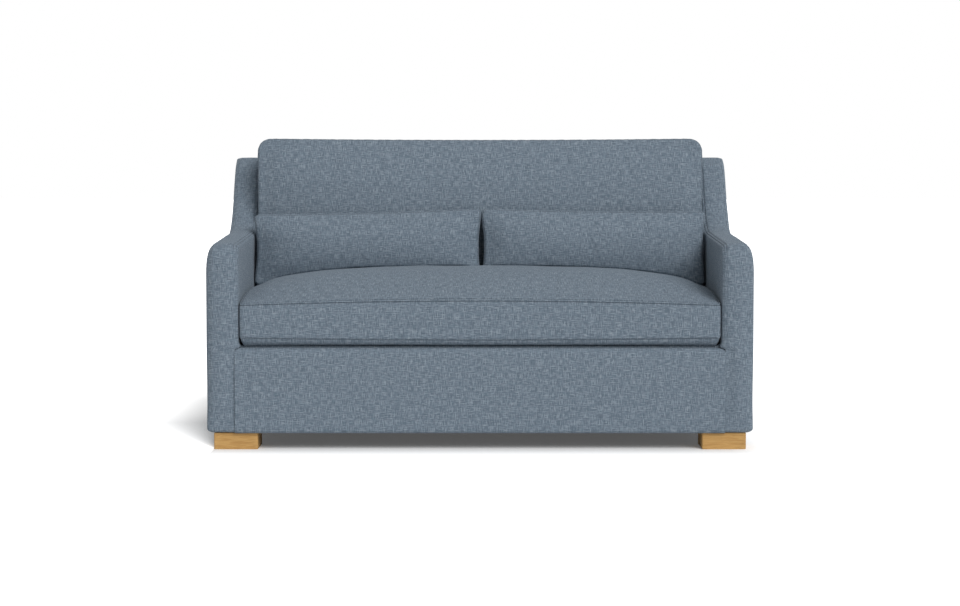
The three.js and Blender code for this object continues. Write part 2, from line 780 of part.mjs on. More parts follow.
function buildCushions() {
  // Seat cushion, with its slit in the rear boxing
  const seatPiece = (cells, inset) => toSolid(seatAt(cushion(seatForm, cells, inset)));
  const zipHalf = zipLengthShare * seatForm.halfAcross;
  const boxingZ = deckHeight + (seatLowerSeam + seatCornerSeam) / 2;
  const seatRear = deckDepth - seatRearGap;
  const slitFront = seatRear - 2 * seatWrap - overrun;
  const slit = board(-zipHalf, zipHalf, slitFront, seatRear + overrun, boxingZ, boxingZ + zipSlit);
  addCushion(add, 'seat_cushion', seatPiece, fineCells, seatWrap, slit);

  // What rests on the seat is hollowed underneath to the seat's crown
  const seat = seatPiece(fineCells, 0);
  const settled = (solid, inset) => solid.subtract(seat.translate([0, 0, inset + touch]));

  // Back cushion, lengthened from its lower edge until its highest point is the overall height
  const trial = leanBack(cushion(backForm, fineCells), 0, touch, backLift + backForm.halfAlong);
  trial.computeBoundingBox();
  backForm.halfAlong += (overallHeight - trial.boundingBox.max.z) / (2 * rakeCos);
  const backMiddle = backLift + backForm.halfAlong;
  const backPiece = (cells, inset) =>
    settled(toSolid(leanBack(cushion(backForm, cells, inset), 0, touch, backMiddle)), inset);
  const backSlit = leaningSlit(backForm, backEdgeThickness, 0, touch, backMiddle);
  addCushion(add, 'back_cushion', backPiece, fineCells, backWrap, backSlit);

  // Lumbar cushions, leaning on the crown of the back cushion
  const lumbarMiddle = lumbarLift + lumbarForm.halfAlong;
  const lumbarX = lumbarMiddleGap / 2 + lumbarForm.halfAcross;
  const away = lumbarLean(lumbarX, lumbarMiddle - backMiddle);
  const lumbarPiece = (cells, inset) =>
    settled(toSolid(leanBack(cushion(lumbarForm, cells, inset), lumbarX, away, lumbarMiddle)), inset);
  const lumbarSlit = leaningSlit(lumbarForm, lumbarEdgeThickness, lumbarX, away, lumbarMiddle);
  addCushion(addPair, 'lumbar', lumbarPiece, pillowCells, lumbarWrap, lumbarSlit);
}

// How far a lumbar cushion stands in front of the inner back, so that it only touches the back
// cushion: the largest sum of the two facing crowns over a grid of places that they share
function lumbarLean(middleX, drop) {
  let lean = 0;
  for (let i = 0; i <= leanSampleCount; i++) {
    const v = -1 + (2 * i) / leanSampleCount;
    const backV = (drop + v * lumbarForm.halfAlong) / backForm.halfAlong;
    for (let j = 0; j <= leanSampleCount; j++) {
      const u = -1 + (2 * j) / leanSampleCount;
      const backU = (middleX + u * lumbarForm.halfAcross) / backForm.halfAcross;
      const onBack = (share) => Math.min(Math.max(share, -1), 1);
      const front = surfaceHigh(backForm, onBack(backU), onBack(backV));
      lean = Math.max(lean, front - surfaceLow(lumbarForm, u, v));
    }
  }
  return lean + 2 * touch;
}

buildFeet();
buildDustCover();
buildSeatFrame();
buildArms();
buildBackFrame();
buildSprings();
buildDeck();
buildBaseAndBackCovers();
buildCushions();

export default settee;
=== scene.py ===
"""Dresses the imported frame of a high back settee: heathered cloth, loose cushions and oak feet."""

import logging
import math
from dataclasses import dataclass
from enum import Enum

import bpy
import numpy as np
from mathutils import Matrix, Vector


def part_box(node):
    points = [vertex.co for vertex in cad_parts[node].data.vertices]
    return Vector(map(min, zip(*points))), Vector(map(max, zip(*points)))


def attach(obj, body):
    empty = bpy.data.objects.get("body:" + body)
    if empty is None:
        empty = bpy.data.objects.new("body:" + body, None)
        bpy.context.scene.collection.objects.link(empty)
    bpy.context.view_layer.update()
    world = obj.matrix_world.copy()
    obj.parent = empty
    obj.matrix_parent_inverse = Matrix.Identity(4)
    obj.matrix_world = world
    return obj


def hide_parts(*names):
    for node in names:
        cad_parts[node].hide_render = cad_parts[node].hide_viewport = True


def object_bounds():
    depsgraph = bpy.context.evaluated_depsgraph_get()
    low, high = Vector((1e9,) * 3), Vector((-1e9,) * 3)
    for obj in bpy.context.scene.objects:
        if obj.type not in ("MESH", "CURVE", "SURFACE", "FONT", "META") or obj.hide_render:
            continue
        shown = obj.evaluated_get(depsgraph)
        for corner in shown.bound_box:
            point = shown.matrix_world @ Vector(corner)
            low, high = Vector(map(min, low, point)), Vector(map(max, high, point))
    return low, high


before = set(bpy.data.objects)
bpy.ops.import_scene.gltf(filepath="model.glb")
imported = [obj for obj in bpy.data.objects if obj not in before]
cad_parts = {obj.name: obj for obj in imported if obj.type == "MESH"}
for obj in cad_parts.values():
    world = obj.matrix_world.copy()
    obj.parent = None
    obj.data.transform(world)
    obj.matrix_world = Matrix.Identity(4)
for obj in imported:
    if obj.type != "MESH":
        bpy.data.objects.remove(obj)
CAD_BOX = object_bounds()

Array = np.ndarray
Triple = tuple[float, float, float]  # a colour, a place or a scale
Material, Object = bpy.types.Material, bpy.types.Object
Node, NodeSocket = bpy.types.Node, bpy.types.NodeSocket
MM = 0.001
LOG = logging.getLogger("settee")


class Slot(Enum):
    """The record's material slots."""

    CLOTH = "cover_cloth"
    DECKING = "decking"
    LINING = "lining"
    FOAM = "foam"
    WEBBING = "webbing"
    FRAME_WOOD = "frame_wood"
    FOOT_OAK = "foot_oak"
    SPRING_STEEL = "spring_steel"


class Body(Enum):
    """The bodies that pieces ride on."""

    FRAME = "frame"
    SEAT = "seat_cushion"
    BACK = "back_cushion"
    LEFT_LUMBAR = "left_lumbar"
    RIGHT_LUMBAR = "right_lumbar"


class Side(Enum):
    """Left or right of the middle plane, with the sign of its x."""

    RIGHT = 1
    LEFT = -1

    @property
    def word(self) -> str:
        """The side's name as it stands in node names."""
        return self.name.lower()


# Numbers on arrays


def smoothstep(values: Array, low: float, high: float) -> Array:
    """Rises smoothly from 0 at low to 1 at high, by 3t^2 - 2t^3."""
    share = np.clip((values - low) / (high - low), 0, 1)
    return share * share * (3 - 2 * share)


def falling(values: Array, low: float, high: float) -> Array:
    """Falls smoothly from 1 at low to 0 at high."""
    return 1 - smoothstep(values, low, high)


def ripple(place: Array, wavelength: float, seed: int) -> Array:
    """A wandering value along a line: the mean of six sines with seeded lengths and phases.

    Args:
        place: distances along the line, in metres.
        wavelength: the middle wavelength, in metres.
        seed: which wandering it is.

    Returns:
        Values about zero, nearly always within one.
    """
    rng = np.random.default_rng(seed)
    total = np.zeros_like(place)
    for _ in range(6):
        length = wavelength * rng.uniform(0.55, 1.8)
        total += np.sin(2 * math.pi * (place / length + rng.uniform()))
    return total / 3


def lumps(across: Array, along: Array, wavelength: float, seed: int) -> Array:
    """A wandering value over a surface: the mean of nine plane waves with seeded directions.

    Args:
        across: first flat coordinate, in metres.
        along: second flat coordinate, in metres.
        wavelength: the middle wavelength, in metres.
        seed: which wandering it is.

    Returns:
        Values about zero, nearly always within one.
    """
    rng = np.random.default_rng(seed)
    total = np.zeros_like(across)
    for _ in range(9):
        turn = rng.uniform(0, 2 * math.pi)
        length = wavelength * rng.uniform(0.6, 1.7)
        phase = (across * math.cos(turn) + along * math.sin(turn)) / length
        total += np.sin(2 * math.pi * (phase + rng.uniform()))
    return total / 4


def cubic_along(values: Array, places: Array) -> Array:
    """Samples rows between their indices by Catmull-Rom cubics.

    Args:
        values: rows of any shape, at the indices 0 to n - 1.
        places: where to sample, in indices.

    Returns:
        One row for each place.
    """
    before, after = 2 * values[:1] - values[1:2], 2 * values[-1:] - values[-2:-1]
    padded = np.concatenate([before, values, after])
    whole = np.clip(np.floor(places).astype(int), 0, len(values) - 2)
    t = (places - whole).reshape((-1,) + (1,) * (values.ndim - 1))
    p0, p1, p2, p3 = (padded[whole + k] for k in range(4))
    square = 2 * p0 - 5 * p1 + 4 * p2 - p3
    cube = 3 * p1 - p0 - 3 * p2 + p3
    return 0.5 * (2 * p1 + (p2 - p0) * t + square * t**2 + cube * t**3)


def resample(grid: Array, rows: Array, columns: Array) -> Array:
    """Samples a grid of points at fractional rows and columns, by cubics both ways."""
    tall = cubic_along(grid, rows)
    return np.swapaxes(cubic_along(np.swapaxes(tall, 0, 1), columns), 0, 1)


def lines(length: float, near: Array, pitch: float) -> Array:
    """Places along a length: the near distances from both ends, and even steps between them.

    Args:
        length: the whole length, in metres.
        near: rising distances from an end, from 0.
        pitch: the step between the last near ones.

    Returns:
        Rising places from 0 to the length.
    """
    count = max(2, round((length - 2 * near[-1]) / pitch))
    middle = np.linspace(near[-1], length - near[-1], count + 1)
    return np.concatenate([near[:-1], middle, (length - near[:-1])[::-1]])


def spread(across: Array, along: Array) -> tuple[Array, Array, Array, Array]:
    """A grid of places, and how far each lies from the nearer end both ways.

    Args:
        across: rising places from 0, one for each row.
        along: rising places from 0, one for each column.

    Returns:
        The places across and along, and the distances across and along.
    """
    x, y = np.meshgrid(across, along, indexing="ij")
    return x, y, np.minimum(x, across[-1] - x), np.minimum(y, along[-1] - y)


def bell(distance: Array, reach: float) -> Array:
    """Falls from 1 on both sides of 0, by exp(-(distance / reach)^2)."""
    return np.exp(-((distance / reach) ** 2))


def fading(share: float, amount: Array) -> Array:
    """One where the amount is 0, and the share where it is 1."""
    return 1 - (1 - share) * amount


def along_path(points: Array) -> Array:
    """Distance of each point along an open polyline."""
    steps = np.linalg.norm(np.diff(points, axis=0), axis=-1)
    return np.concatenate([np.zeros((1,) + steps.shape[1:]), np.cumsum(steps, axis=0)])


def unit(vectors: Array) -> Array:
    """The same directions at length one."""
    return vectors / np.maximum(np.linalg.norm(vectors, axis=-1, keepdims=True), 1e-12)


# Meshes


def perimeter(rows: int, columns: int) -> tuple[Array, Array]:
    """Indices of a grid's border, once round from its first corner.

    Args:
        rows: how many rows the grid has.
        columns: how many columns.

    Returns:
        The row and the column of each border point.
    """
    last_row, last_column = rows - 1, columns - 1
    up, over = np.arange(last_row), np.arange(last_column)
    row = np.concatenate([up, 0 * over + last_row, last_row - up, 0 * over])
    column = np.concatenate([0 * up, over, 0 * up + last_column, last_column - over])
    return row, column


def border_sides(rows: int, columns: int) -> list[slice]:
    """Slices of a closed border, in perimeter()'s order: each side with both its corners."""
    ends = np.cumsum([0, rows - 1, columns - 1, rows - 1, columns - 1])
    return [slice(start, end + 1) for start, end in zip(ends[:-1], ends[1:])]


def closed(loop: Array) -> Array:
    """Points, or columns of them, with the first one again at the end."""
    return np.concatenate([loop, loop[:1]])


def cell_corners(grid: Array) -> list[Array]:
    """The four corners of each cell of a grid, in turn."""
    return [grid[:-1, :-1], grid[1:, :-1], grid[1:, 1:], grid[:-1, 1:]]


@dataclass
class BoxedShell:
    """A closed shell of two panels with one border each, and rows of boxing from one to the other.

    Both panels are rows x columns x 3, and the boxing is inner rows x border points x 3. The flat
    places of the cloth go with them. Relief is how far each point stands out of the surface, and seam
    is how deep in a seam each vertex lies, from 0 to 1, which sets the cloth's painted shade.
    """

    first: Array
    second: Array
    boxing: Array
    first_flat: Array | None = None
    second_flat: Array | None = None
    boxing_flat: Array | None = None
    first_relief: Array | None = None
    second_relief: Array | None = None
    boxing_relief: Array | None = None
    seam: Array | None = None

    def vertices(self) -> Array:
        """All points in the mesh's order."""
        return np.concatenate([part.reshape(-1, 3) for part in (self.first, self.second, self.boxing)])

    def faces(self) -> Array:
        """Quads as vertex indices, panels first.

        Returns:
            Quads, one row a face.
        """
        rows, columns = self.first.shape[:2]
        index = np.arange(rows * columns).reshape(rows, columns)
        quads = np.stack(cell_corners(index), -1).reshape(-1, 4)
        sides = np.stack(cell_corners(closed(self.ladder().T).T), -1).reshape(-1, 4)
        return np.concatenate([quads, quads[:, ::-1] + rows * columns, sides])

    def ladder(self) -> Array:
        """Vertex indices of the boxing's rows, with the borders of both panels at its ends.

        Returns:
            Indices, one row for each row of the boxing.
        """
        rows, columns = self.first.shape[:2]
        row, column = perimeter(rows, columns)
        border = row * columns + column
        inner = np.arange(len(self.boxing) * len(border)).reshape(-1, len(border))
        count = rows * columns
        return np.concatenate([border[None], 2 * count + inner, border[None] + count])

    def loop_flats(self) -> Array:
        """The cloth's flat place for each face corner, in the order of faces().

        Returns:
            Flat places, one row a corner.
        """
        parts = [cell_corners(flat) for flat in (self.first_flat, self.second_flat, self.boxing_flat)]
        parts[1].reverse()
        return np.concatenate([np.stack(part, 2).reshape(-1, 2) for part in parts])

    def relief(self) -> Array | None:
        """Relief of every vertex, or None where there is none.

        Returns:
            Relief in the mesh's order, or None.
        """
        if self.first_relief is None:
            return None
        parts = (self.first_relief, self.second_relief, self.boxing_relief)
        return np.concatenate([part.ravel() for part in parts])


def signed_volume(points: Array, faces: Array) -> float:
    """Volume that the quads enclose, positive where they face outwards.

    Args:
        points: vertices, in metres.
        faces: quads as vertex indices.

    Returns:
        The volume in cubic metres.
    """
    a, b, c, d = (points[faces[:, k]] for k in range(4))
    halves = np.einsum("ij,ij->i", a, np.cross(b, c)) + np.einsum("ij,ij->i", a, np.cross(c, d))
    return float(halves.sum() / 6)


def vertex_normals(points: Array, faces: Array) -> Array:
    """Unit normals, each the sum of its faces' areas.

    Args:
        points: vertices, in metres.
        faces: quads as vertex indices.

    Returns:
        One unit vector for each vertex.
    """
    a, b, c, d = (points[faces[:, k]] for k in range(4))
    face = np.cross(c - a, d - b)
    total = np.zeros_like(points)
    for k in range(faces.shape[1]):
        np.add.at(total, faces[:, k], face)
    return unit(total)


def make_mesh(
    name: str, points: Array, faces: Array, flats: Array | None = None, seams: Array | None = None
) -> Object:
    """Puts points and faces of one size into a new object.

    Args:
        name: the object's name.
        points: vertices, in metres.
        faces: vertex indices, one row a face.
        flats: the cloth's flat place for each face corner, or None.
        seams: how deep in a seam each vertex lies, from 0 to 1, which sets the cloth's painted shade, or
            None.

    Returns:
        The object, linked to the scene.
    """
    mesh = bpy.data.meshes.new(name)
    count, corners = faces.shape
    mesh.vertices.add(len(points))
    mesh.vertices.foreach_set("co", points.astype(np.float32).ravel())
    mesh.loops.add(count * corners)
    mesh.loops.foreach_set("vertex_index", faces.astype(np.int32).ravel())
    mesh.polygons.add(count)
    mesh.polygons.foreach_set("loop_start", np.arange(0, count * corners, corners, dtype=np.int32))
    if flats is not None:
        layer = mesh.uv_layers.new(name="Weave")
        layer.data.foreach_set("uv", flats.astype(np.float32).ravel())
    if seams is not None:
        depth = mesh.attributes.new("seam", "FLOAT", "POINT")
        depth.data.foreach_set("value", seams.astype(np.float32))
    mesh.update(calc_edges=True)
    mesh.validate()
    mesh.shade_smooth()
    piece = bpy.data.objects.new(name, mesh)
    bpy.context.scene.collection.objects.link(piece)
    return piece


def shell_object(name: str, shell: BoxedShell, mirror: bool = False) -> tuple[Object, Array, Array]:
    """Makes a shell's object with its relief pressed in.

    Args:
        name: the object's name.
        shell: the shell to make.
        mirror: True puts it on the other side of the middle plane.

    Returns:
        The object, its points and their normals.
    """
    points = shell.vertices()
    faces = shell.faces()
    flats = shell.loop_flats()
    if mirror:
        points = points * np.array([-1, 1, 1])
    if signed_volume(points, faces) < 0:
        faces = faces[:, ::-1]
        flats = flats.reshape(-1, 4, 2)[:, ::-1].reshape(-1, 2)
    relief = shell.relief()
    if relief is not None:
        points = points + vertex_normals(points, faces) * relief[:, None]
    normals = vertex_normals(points, faces)
    seams = np.zeros(len(points)) if shell.seam is None else np.clip(shell.seam, 0, 1)
    return make_mesh(name, points, faces, flats, seams), points, normals


@dataclass(frozen=True)
class Topstitch:
    """A row of thread stitches along a seam: short capsules, whose ends dip by sink radii."""

    pitch: float = 7.2 * MM
    share: float = 0.7
    radius: float = 0.65 * MM
    sink: float = 1.1
    sides: int = 5

    def template(self) -> tuple[Array, Array]:
        """One capsule along x from -1 to 1: six rings, the end ones nearly closed.

        Returns:
            Vertices as (along, out, out) and quads.
        """
        along = np.array([-1.0, -0.86, -0.3, 0.3, 0.86, 1.0])
        width = np.array([0.12, 0.78, 1.0, 1.0, 0.78, 0.12])
        turn = 2 * math.pi * np.arange(self.sides) / self.sides
        ring = np.stack([np.zeros(self.sides), np.cos(turn), np.sin(turn)], -1)
        points = ring[None] * width[:, None, None]
        points[..., 0] = along[:, None]
        index = np.arange(len(along) * self.sides).reshape(len(along), self.sides)
        after = np.roll(index, -1, axis=1)
        quads = np.stack([index[:-1], after[:-1], after[1:], index[1:]], -1).reshape(-1, 4)
        return points.reshape(-1, 3), quads

    def row(self, path: Array, normals: Array, loop: bool) -> tuple[Array, Array]:
        """Stitches along a path on a surface.

        Args:
            path: points of the path, in metres.
            normals: the surface's normals there.
            loop: True where the path comes back to its start.

        Returns:
            Vertices and quads of all the stitches.
        """
        if loop:
            path, normals = closed(path), closed(normals)
        place = along_path(path)
        count = max(2, int(place[-1] / self.pitch))
        step = place[-1] / count
        centres = (np.arange(count) + 0.5) * step

        def sample(values: Array, at: Array) -> Array:
            """Values at distances along the path."""
            return np.stack([np.interp(at, place, values[:, k]) for k in range(3)], -1)

        middle = sample(path, centres)
        tangent = unit(sample(path, centres + step / 4) - sample(path, centres - step / 4))
        up = unit(sample(normals, centres))
        side = unit(np.cross(up, tangent))
        points, quads = self.template()
        half = self.share * step / 2
        placed = (
            middle[:, None]
            + points[None, :, :1] * half * tangent[:, None]
            + points[None, :, 1:2] * self.radius * side[:, None]
            + points[None, :, 2:] * self.radius * up[:, None]
        )
        placed -= up[:, None] * self.radius * self.sink * (points[None, :, :1] ** 2)
        faces = quads[None] + (np.arange(count) * len(points))[:, None, None]
        return placed.reshape(-1, 3), faces.reshape(-1, 4)


def stitch_object(name: str, rows: list[tuple[Array, Array]]) -> Object:
    """Joins rows of stitches into one object.

    Args:
        name: the object's name.
        rows: vertices and quads of each row.

    Returns:
        The object.
    """
    points = np.concatenate([row[0] for row in rows])
    starts = np.cumsum([0] + [len(row[0]) for row in rows[:-1]])
    faces = np.concatenate([row[1] + start for row, start in zip(rows, starts)])
    return make_mesh(name, points, faces)


# Relief of seams, by distance from the seam line in metres


@dataclass(frozen=True)
class SeamRelief:
    """How cloth stands about a seam: a crease on the line and, if topstitched, a groove each side.

    The grooves lie at row from the line, and the cloth swells again at swell_at beyond them.
    """

    row: float = 0.0
    crease: float = 0.9 * MM
    crease_reach: float = 1.3 * MM
    groove: float = 1.2 * MM
    groove_reach: float = 1.3 * MM
    swell: float = 0.7 * MM
    swell_at: float = 9 * MM
    swell_reach: float = 6 * MM

    def height(self, distance: Array) -> Array:
        """Relief at distances from the line: minus the crease and grooves, plus the swell beyond.

        Args:
            distance: distances from the line.

        Returns:
            How far the cloth stands out there.
        """
        away = np.abs(distance)
        relief = -self.crease * bell(away, self.crease_reach)
        if self.row:
            relief -= self.groove * bell(away - self.row, self.groove_reach)
        return relief + self.swell * bell(away - (self.row + self.swell_at), self.swell_reach)

    def depth(self, distance: Array) -> Array:
        """How deep in the seam the cloth lies, from 0 to 1, which sets its painted shade: deepest in a
        groove or an open crease.

        Args:
            distance: distances from the line.

        Returns:
            The depths there.
        """
        away = np.abs(distance)
        if self.row:
            return bell(away - self.row, self.groove_reach)
        return bell(away, self.crease_reach)


PLAIN_SEAM = SeamRelief(crease=2.4 * MM, crease_reach=1.8 * MM, swell=0.9 * MM)
DOUBLE_SEAM = SeamRelief(row=4.6 * MM, crease=0.6 * MM, groove=2.1 * MM, groove_reach=1.5 * MM)
NEAR_SEAM = np.array([0, 1, 2, 3, 3.8, 4.6, 5.4, 6.4, 8, 10, 13, 17]) * MM
STITCH_LINE = 5  # which of the places near a seam carries the stitches


# Materials


class Wiring:
    """Adds nodes to one material's tree and links them."""

    def __init__(self, name: str) -> None:
        """Starts a material with its shader and output.

        Args:
            name: the material's name.
        """
        self.material = bpy.data.materials.new(name)
        self.material.use_nodes = True
        self.tree = self.material.node_tree
        self.tree.nodes.clear()
        self.shader = self.node("BsdfPrincipled")
        self.node("OutputMaterial", {"Surface": self.shader.outputs[0]})

    def node(self, kind: str, fed: dict[str | int, object] | None = None, **settings: object) -> Node:
        """A new node with its properties set and its inputs fed.

        Args:
            kind: its type, after ShaderNode.
            fed: its inputs' values.
            settings: its properties.

        Returns:
            The node.
        """
        made = self.tree.nodes.new(f"ShaderNode{kind}")
        for key, value in settings.items():
            setattr(made, key, value)
        self.feed(made, fed or {})
        return made

    def feed(self, node: Node, fed: dict[str | int, object]) -> None:
        """Sets inputs of a node to numbers or colours, or links outputs to them.

        Args:
            node: the node.
            fed: values or outputs by the inputs' names.
        """
        for key, value in fed.items():
            target = node.inputs[key]
            if isinstance(value, NodeSocket):
                self.tree.links.new(value, target)
            elif isinstance(value, tuple) and len(value) == 3 and target.type == "RGBA":
                target.default_value = (*value, 1.0)
            else:
                target.default_value = value

    def object_place(self) -> NodeSocket:
        """Place in the object's own frame, in metres."""
        return self.node("TexCoord").outputs["Object"]

    def weave_place(self) -> NodeSocket:
        """Flat place in the cloth, in metres."""
        return self.node("UVMap", uv_map="Weave").outputs["UV"]

    def parts(self, vector: NodeSocket) -> list[NodeSocket]:
        """The three numbers of a vector."""
        return list(self.node("SeparateXYZ", {0: vector}).outputs)

    def noise(self, place: NodeSocket, scale: float, detail: float = 2.0, rough: float = 0.5) -> NodeSocket:
        """Noise from 0 to 1 about a half."""
        fed = {"Vector": place, "Scale": scale, "Detail": detail, "Roughness": rough}
        return self.node("TexNoise", fed).outputs["Fac"]

    def stretched(
        self, place: NodeSocket, scale: Triple, offset: Triple = (0, 0, 0), **looks: float
    ) -> NodeSocket:
        """Noise that is long where its scale is small, moved by an offset."""
        moved = self.node("Mapping", {"Vector": place, "Scale": scale, "Location": offset})
        return self.noise(moved.outputs["Vector"], 1.0, **looks)

    def math(self, operation: str, a: object, b: object = 0.0) -> NodeSocket:
        """One sum on numbers or outputs."""
        return self.node("Math", {0: a, 1: b}, operation=operation).outputs[0]

    def ranged(self, value: object, low: float, high: float, to_low: float, to_high: float) -> NodeSocket:
        """A value carried from one range to another, clamped."""
        ends = {"From Min": low, "From Max": high, "To Min": to_low, "To Max": to_high}
        return self.node("MapRange", {"Value": value, **ends}).outputs["Result"]

    def mix(self, factor: object, a: object, b: object) -> NodeSocket:
        """Two colours mixed by a factor."""
        return self.node("Mix", {0: factor, 6: a, 7: b}, data_type="RGBA").outputs[2]

    def blend(self, factor: object, a: object, b: object) -> NodeSocket:
        """Two numbers mixed by a factor."""
        return self.node("Mix", {0: factor, 2: a, 3: b}, data_type="FLOAT").outputs[0]

    def wave(self, place: NodeSocket, turn: float) -> NodeSocket:
        """A sine along a place, turned by so many radians a metre."""
        return self.math("SINE", self.math("MULTIPLY", place, turn))

    def finish(
        self, colour: object, roughness: object, height: NodeSocket, depth: float, strength: float
    ) -> Material:
        """Feeds the shader.

        Args:
            colour: its colour.
            roughness: its roughness.
            height: the relief that turns its normal.
            depth: how deep a relief of one is, in metres.
            strength: how strongly the relief shows.

        Returns:
            The finished material.
        """
        relief = self.node("Bump", {"Distance": depth, "Strength": strength, "Height": height})
        looks = {"Base Color": colour, "Roughness": roughness, "Normal": relief.outputs["Normal"]}
        self.feed(self.shader, looks)
        return self.material


@dataclass(frozen=True)
class HeatheredLinen:
    """Plain weave of heathered yarn: blue-grey with pale fibres, thick places, and painted shade in the
    grooves of its seams.
    """

    name: str = "heathered_linen"
    yarn: Triple = (0.150, 0.192, 0.238)
    deep_yarn: Triple = (0.098, 0.130, 0.165)
    pale_yarn: Triple = (0.235, 0.285, 0.335)
    fibre: Triple = (0.42, 0.47, 0.51)
    teal: Triple = (0.120, 0.195, 0.235)
    mauve: Triple = (0.170, 0.180, 0.225)
    # Painted shade in the seams' grooves: its colour, and how far a seam depth of one takes the cloth
    # towards it
    seam_shade_colour: Triple = (0.040, 0.052, 0.068)
    seam_shade: float = 0.6
    thread: float = 1.15 * MM
    thread_grain: float = 60.0
    slub_scales: tuple[float, float] = (400.0, 48.0)

    def material(self) -> Material:
        """Warp and weft threads from stretched noise, crossed over and under by two sines.

        Returns:
            The material.
        """
        w = Wiring(self.name)
        place = w.weave_place()
        pitch = 1 / self.thread
        # One long-grained noise each way, thread wide, and one for the thick places in the yarn
        thin, grain, thick = 0.9 * pitch, self.thread_grain, self.slub_scales
        warp = w.stretched(place, (thin, grain, 1), detail=1.0)
        weft = w.stretched(place, (grain, thin, 1), (7, 3, 0), detail=1.0)
        slub_up = w.stretched(place, (*thick, 1), (3, 9, 0))
        slub_over = w.stretched(place, (*thick[::-1], 1), (1, 5, 0))
        # Over and under
        u, v, _ = w.parts(place)
        wave_u, wave_v = w.wave(u, math.pi * pitch), w.wave(v, math.pi * pitch)
        over = w.ranged(w.math("MULTIPLY", wave_u, wave_v), -0.35, 0.35, 0.0, 1.0)
        # Yarn colours: where slubs cross, the stronger one shows
        apart = [w.math("ABSOLUTE", w.math("SUBTRACT", slub, 0.5)) for slub in (slub_up, slub_over)]
        stronger = w.ranged(w.math("SUBTRACT", *apart), -0.012, 0.012, 0.0, 1.0)
        slub = w.blend(stronger, slub_over, slub_up)
        thread = w.blend(over, warp, weft)
        tone = w.math("ADD", w.math("MULTIPLY", thread, 0.3), w.math("MULTIPLY", slub, 0.7))
        colour = w.mix(w.ranged(tone, 0.34, 0.50, 0.0, 1.0), self.deep_yarn, self.yarn)
        colour = w.mix(w.ranged(tone, 0.505, 0.67, 0.0, 1.0), colour, self.pale_yarn)
        flecks = w.math("MAXIMUM", slub_up, slub_over)
        colour = w.mix(w.ranged(flecks, 0.58, 0.70, 0.0, 0.24), colour, self.fibre)
        cloud = w.stretched(place, (90, 90, 1), (2, 4, 0), detail=3.0)
        colour = w.mix(w.ranged(cloud, 0.52, 0.75, 0.0, 0.2), colour, self.teal)
        colour = w.mix(w.ranged(cloud, 0.48, 0.25, 0.0, 0.2), colour, self.mauve)
        # Painted shade in the grooves of the seams: the colour darkens towards the shade colour by the
        # mesh's seam depth
        seam = w.node("Attribute", attribute_name="seam").outputs["Fac"]
        colour = w.mix(w.math("MULTIPLY", seam, self.seam_shade), colour, self.seam_shade_colour)
        w.feed(w.shader, {"Sheen Weight": 0.12, "Sheen Roughness": 0.45, "Sheen Tint": (0.75, 0.82, 0.9)})
        w.feed(w.shader, {"Specular IOR Level": 0.25})
        # Thread relief
        rounded = w.blend(over, w.math("ABSOLUTE", wave_u), w.math("ABSOLUTE", wave_v))
        height = w.math("ADD", w.math("MULTIPLY", rounded, 0.5), w.math("MULTIPLY", tone, 0.9))
        return w.finish(colour, w.ranged(tone, 0.3, 0.7, 0.97, 0.86), height, 0.45 * MM, 0.8)


@dataclass(frozen=True)
class SewingThread:
    """Bonded thread: one colour with a fine twist."""

    name: str
    colour: Triple

    def material(self) -> Material:
        """Twist from a fine wave along the thread, with a little change of tone.

        Returns:
            The material.
        """
        w = Wiring(self.name)
        place = w.object_place()
        tone = w.noise(place, 900.0)
        darker = tuple(0.72 * c for c in self.colour)
        colour = w.mix(w.ranged(tone, 0.3, 0.7, 0, 1), darker, self.colour)
        twist = w.noise(place, 2600.0, 1.0)
        return w.finish(colour, w.ranged(tone, 0.2, 0.8, 0.7, 0.5), twist, 0.1 * MM, 0.6)


@dataclass(frozen=True)
class SolidTimber:
    """Sawn wood: long rings and fine pores along its grain."""

    name: str
    pale: Triple
    dark: Triple
    rough: float
    grain: Triple
    gloss: float

    def material(self) -> Material:
        """Bands of stretched noise for the rings, thin dark streaks for the pores.

        Returns:
            The material.
        """
        w = Wiring(self.name)
        place = w.object_place()
        rings = w.stretched(place, self.grain, (0.3, 0.7, 0.2), detail=4.0, rough=0.55)
        bands = w.math("FRACT", w.math("MULTIPLY", rings, 7.0))
        band = w.ranged(w.math("ABSOLUTE", w.math("SUBTRACT", bands, 0.5)), 0.0, 0.5, 0.0, 1.0)
        colour = w.mix(band, self.dark, self.pale)
        streaks = w.stretched(place, tuple(9 * g for g in self.grain), detail=3.0, rough=0.6)
        pore = tuple(0.55 * c for c in self.dark)
        colour = w.mix(w.ranged(streaks, 0.6, 0.72, 0.0, 0.55), colour, pore)
        pale_wash = tuple(min(1.0, 1.18 * c) for c in self.pale)
        colour = w.mix(w.ranged(w.noise(place, 9.0), 0.35, 0.65, 0.0, 0.35), colour, pale_wash)
        w.feed(w.shader, {"Specular IOR Level": self.gloss})
        pores = w.ranged(streaks, 0.58, 0.75, 0.0, 0.8)
        height = w.math("SUBTRACT", w.math("MULTIPLY", band, 0.3), pores)
        roughness = w.ranged(streaks, 0.3, 0.7, self.rough - 0.06, self.rough + 0.1)
        return w.finish(colour, roughness, height, 0.2 * MM, 0.5)


@dataclass(frozen=True)
class DrawnSteel:
    """Drawn spring wire: fine lines, and a dull oil film in patches."""

    name: str = "drawn_steel"
    bright: Triple = (0.46, 0.46, 0.47)
    dull: Triple = (0.24, 0.23, 0.22)

    def material(self) -> Material:
        """Patches of film from broad noise, drawing lines from fine noise.

        Returns:
            The material.
        """
        w = Wiring(self.name)
        place = w.object_place()
        film = w.noise(place, 60.0, 3.0)
        colour = w.mix(w.ranged(film, 0.4, 0.68, 0.0, 1.0), self.bright, self.dull)
        w.feed(w.shader, {"Metallic": 0.9})
        drawn = w.noise(place, 1800.0, 1.0)
        return w.finish(colour, w.ranged(film, 0.3, 0.7, 0.32, 0.6), drawn, 0.05 * MM, 0.5)


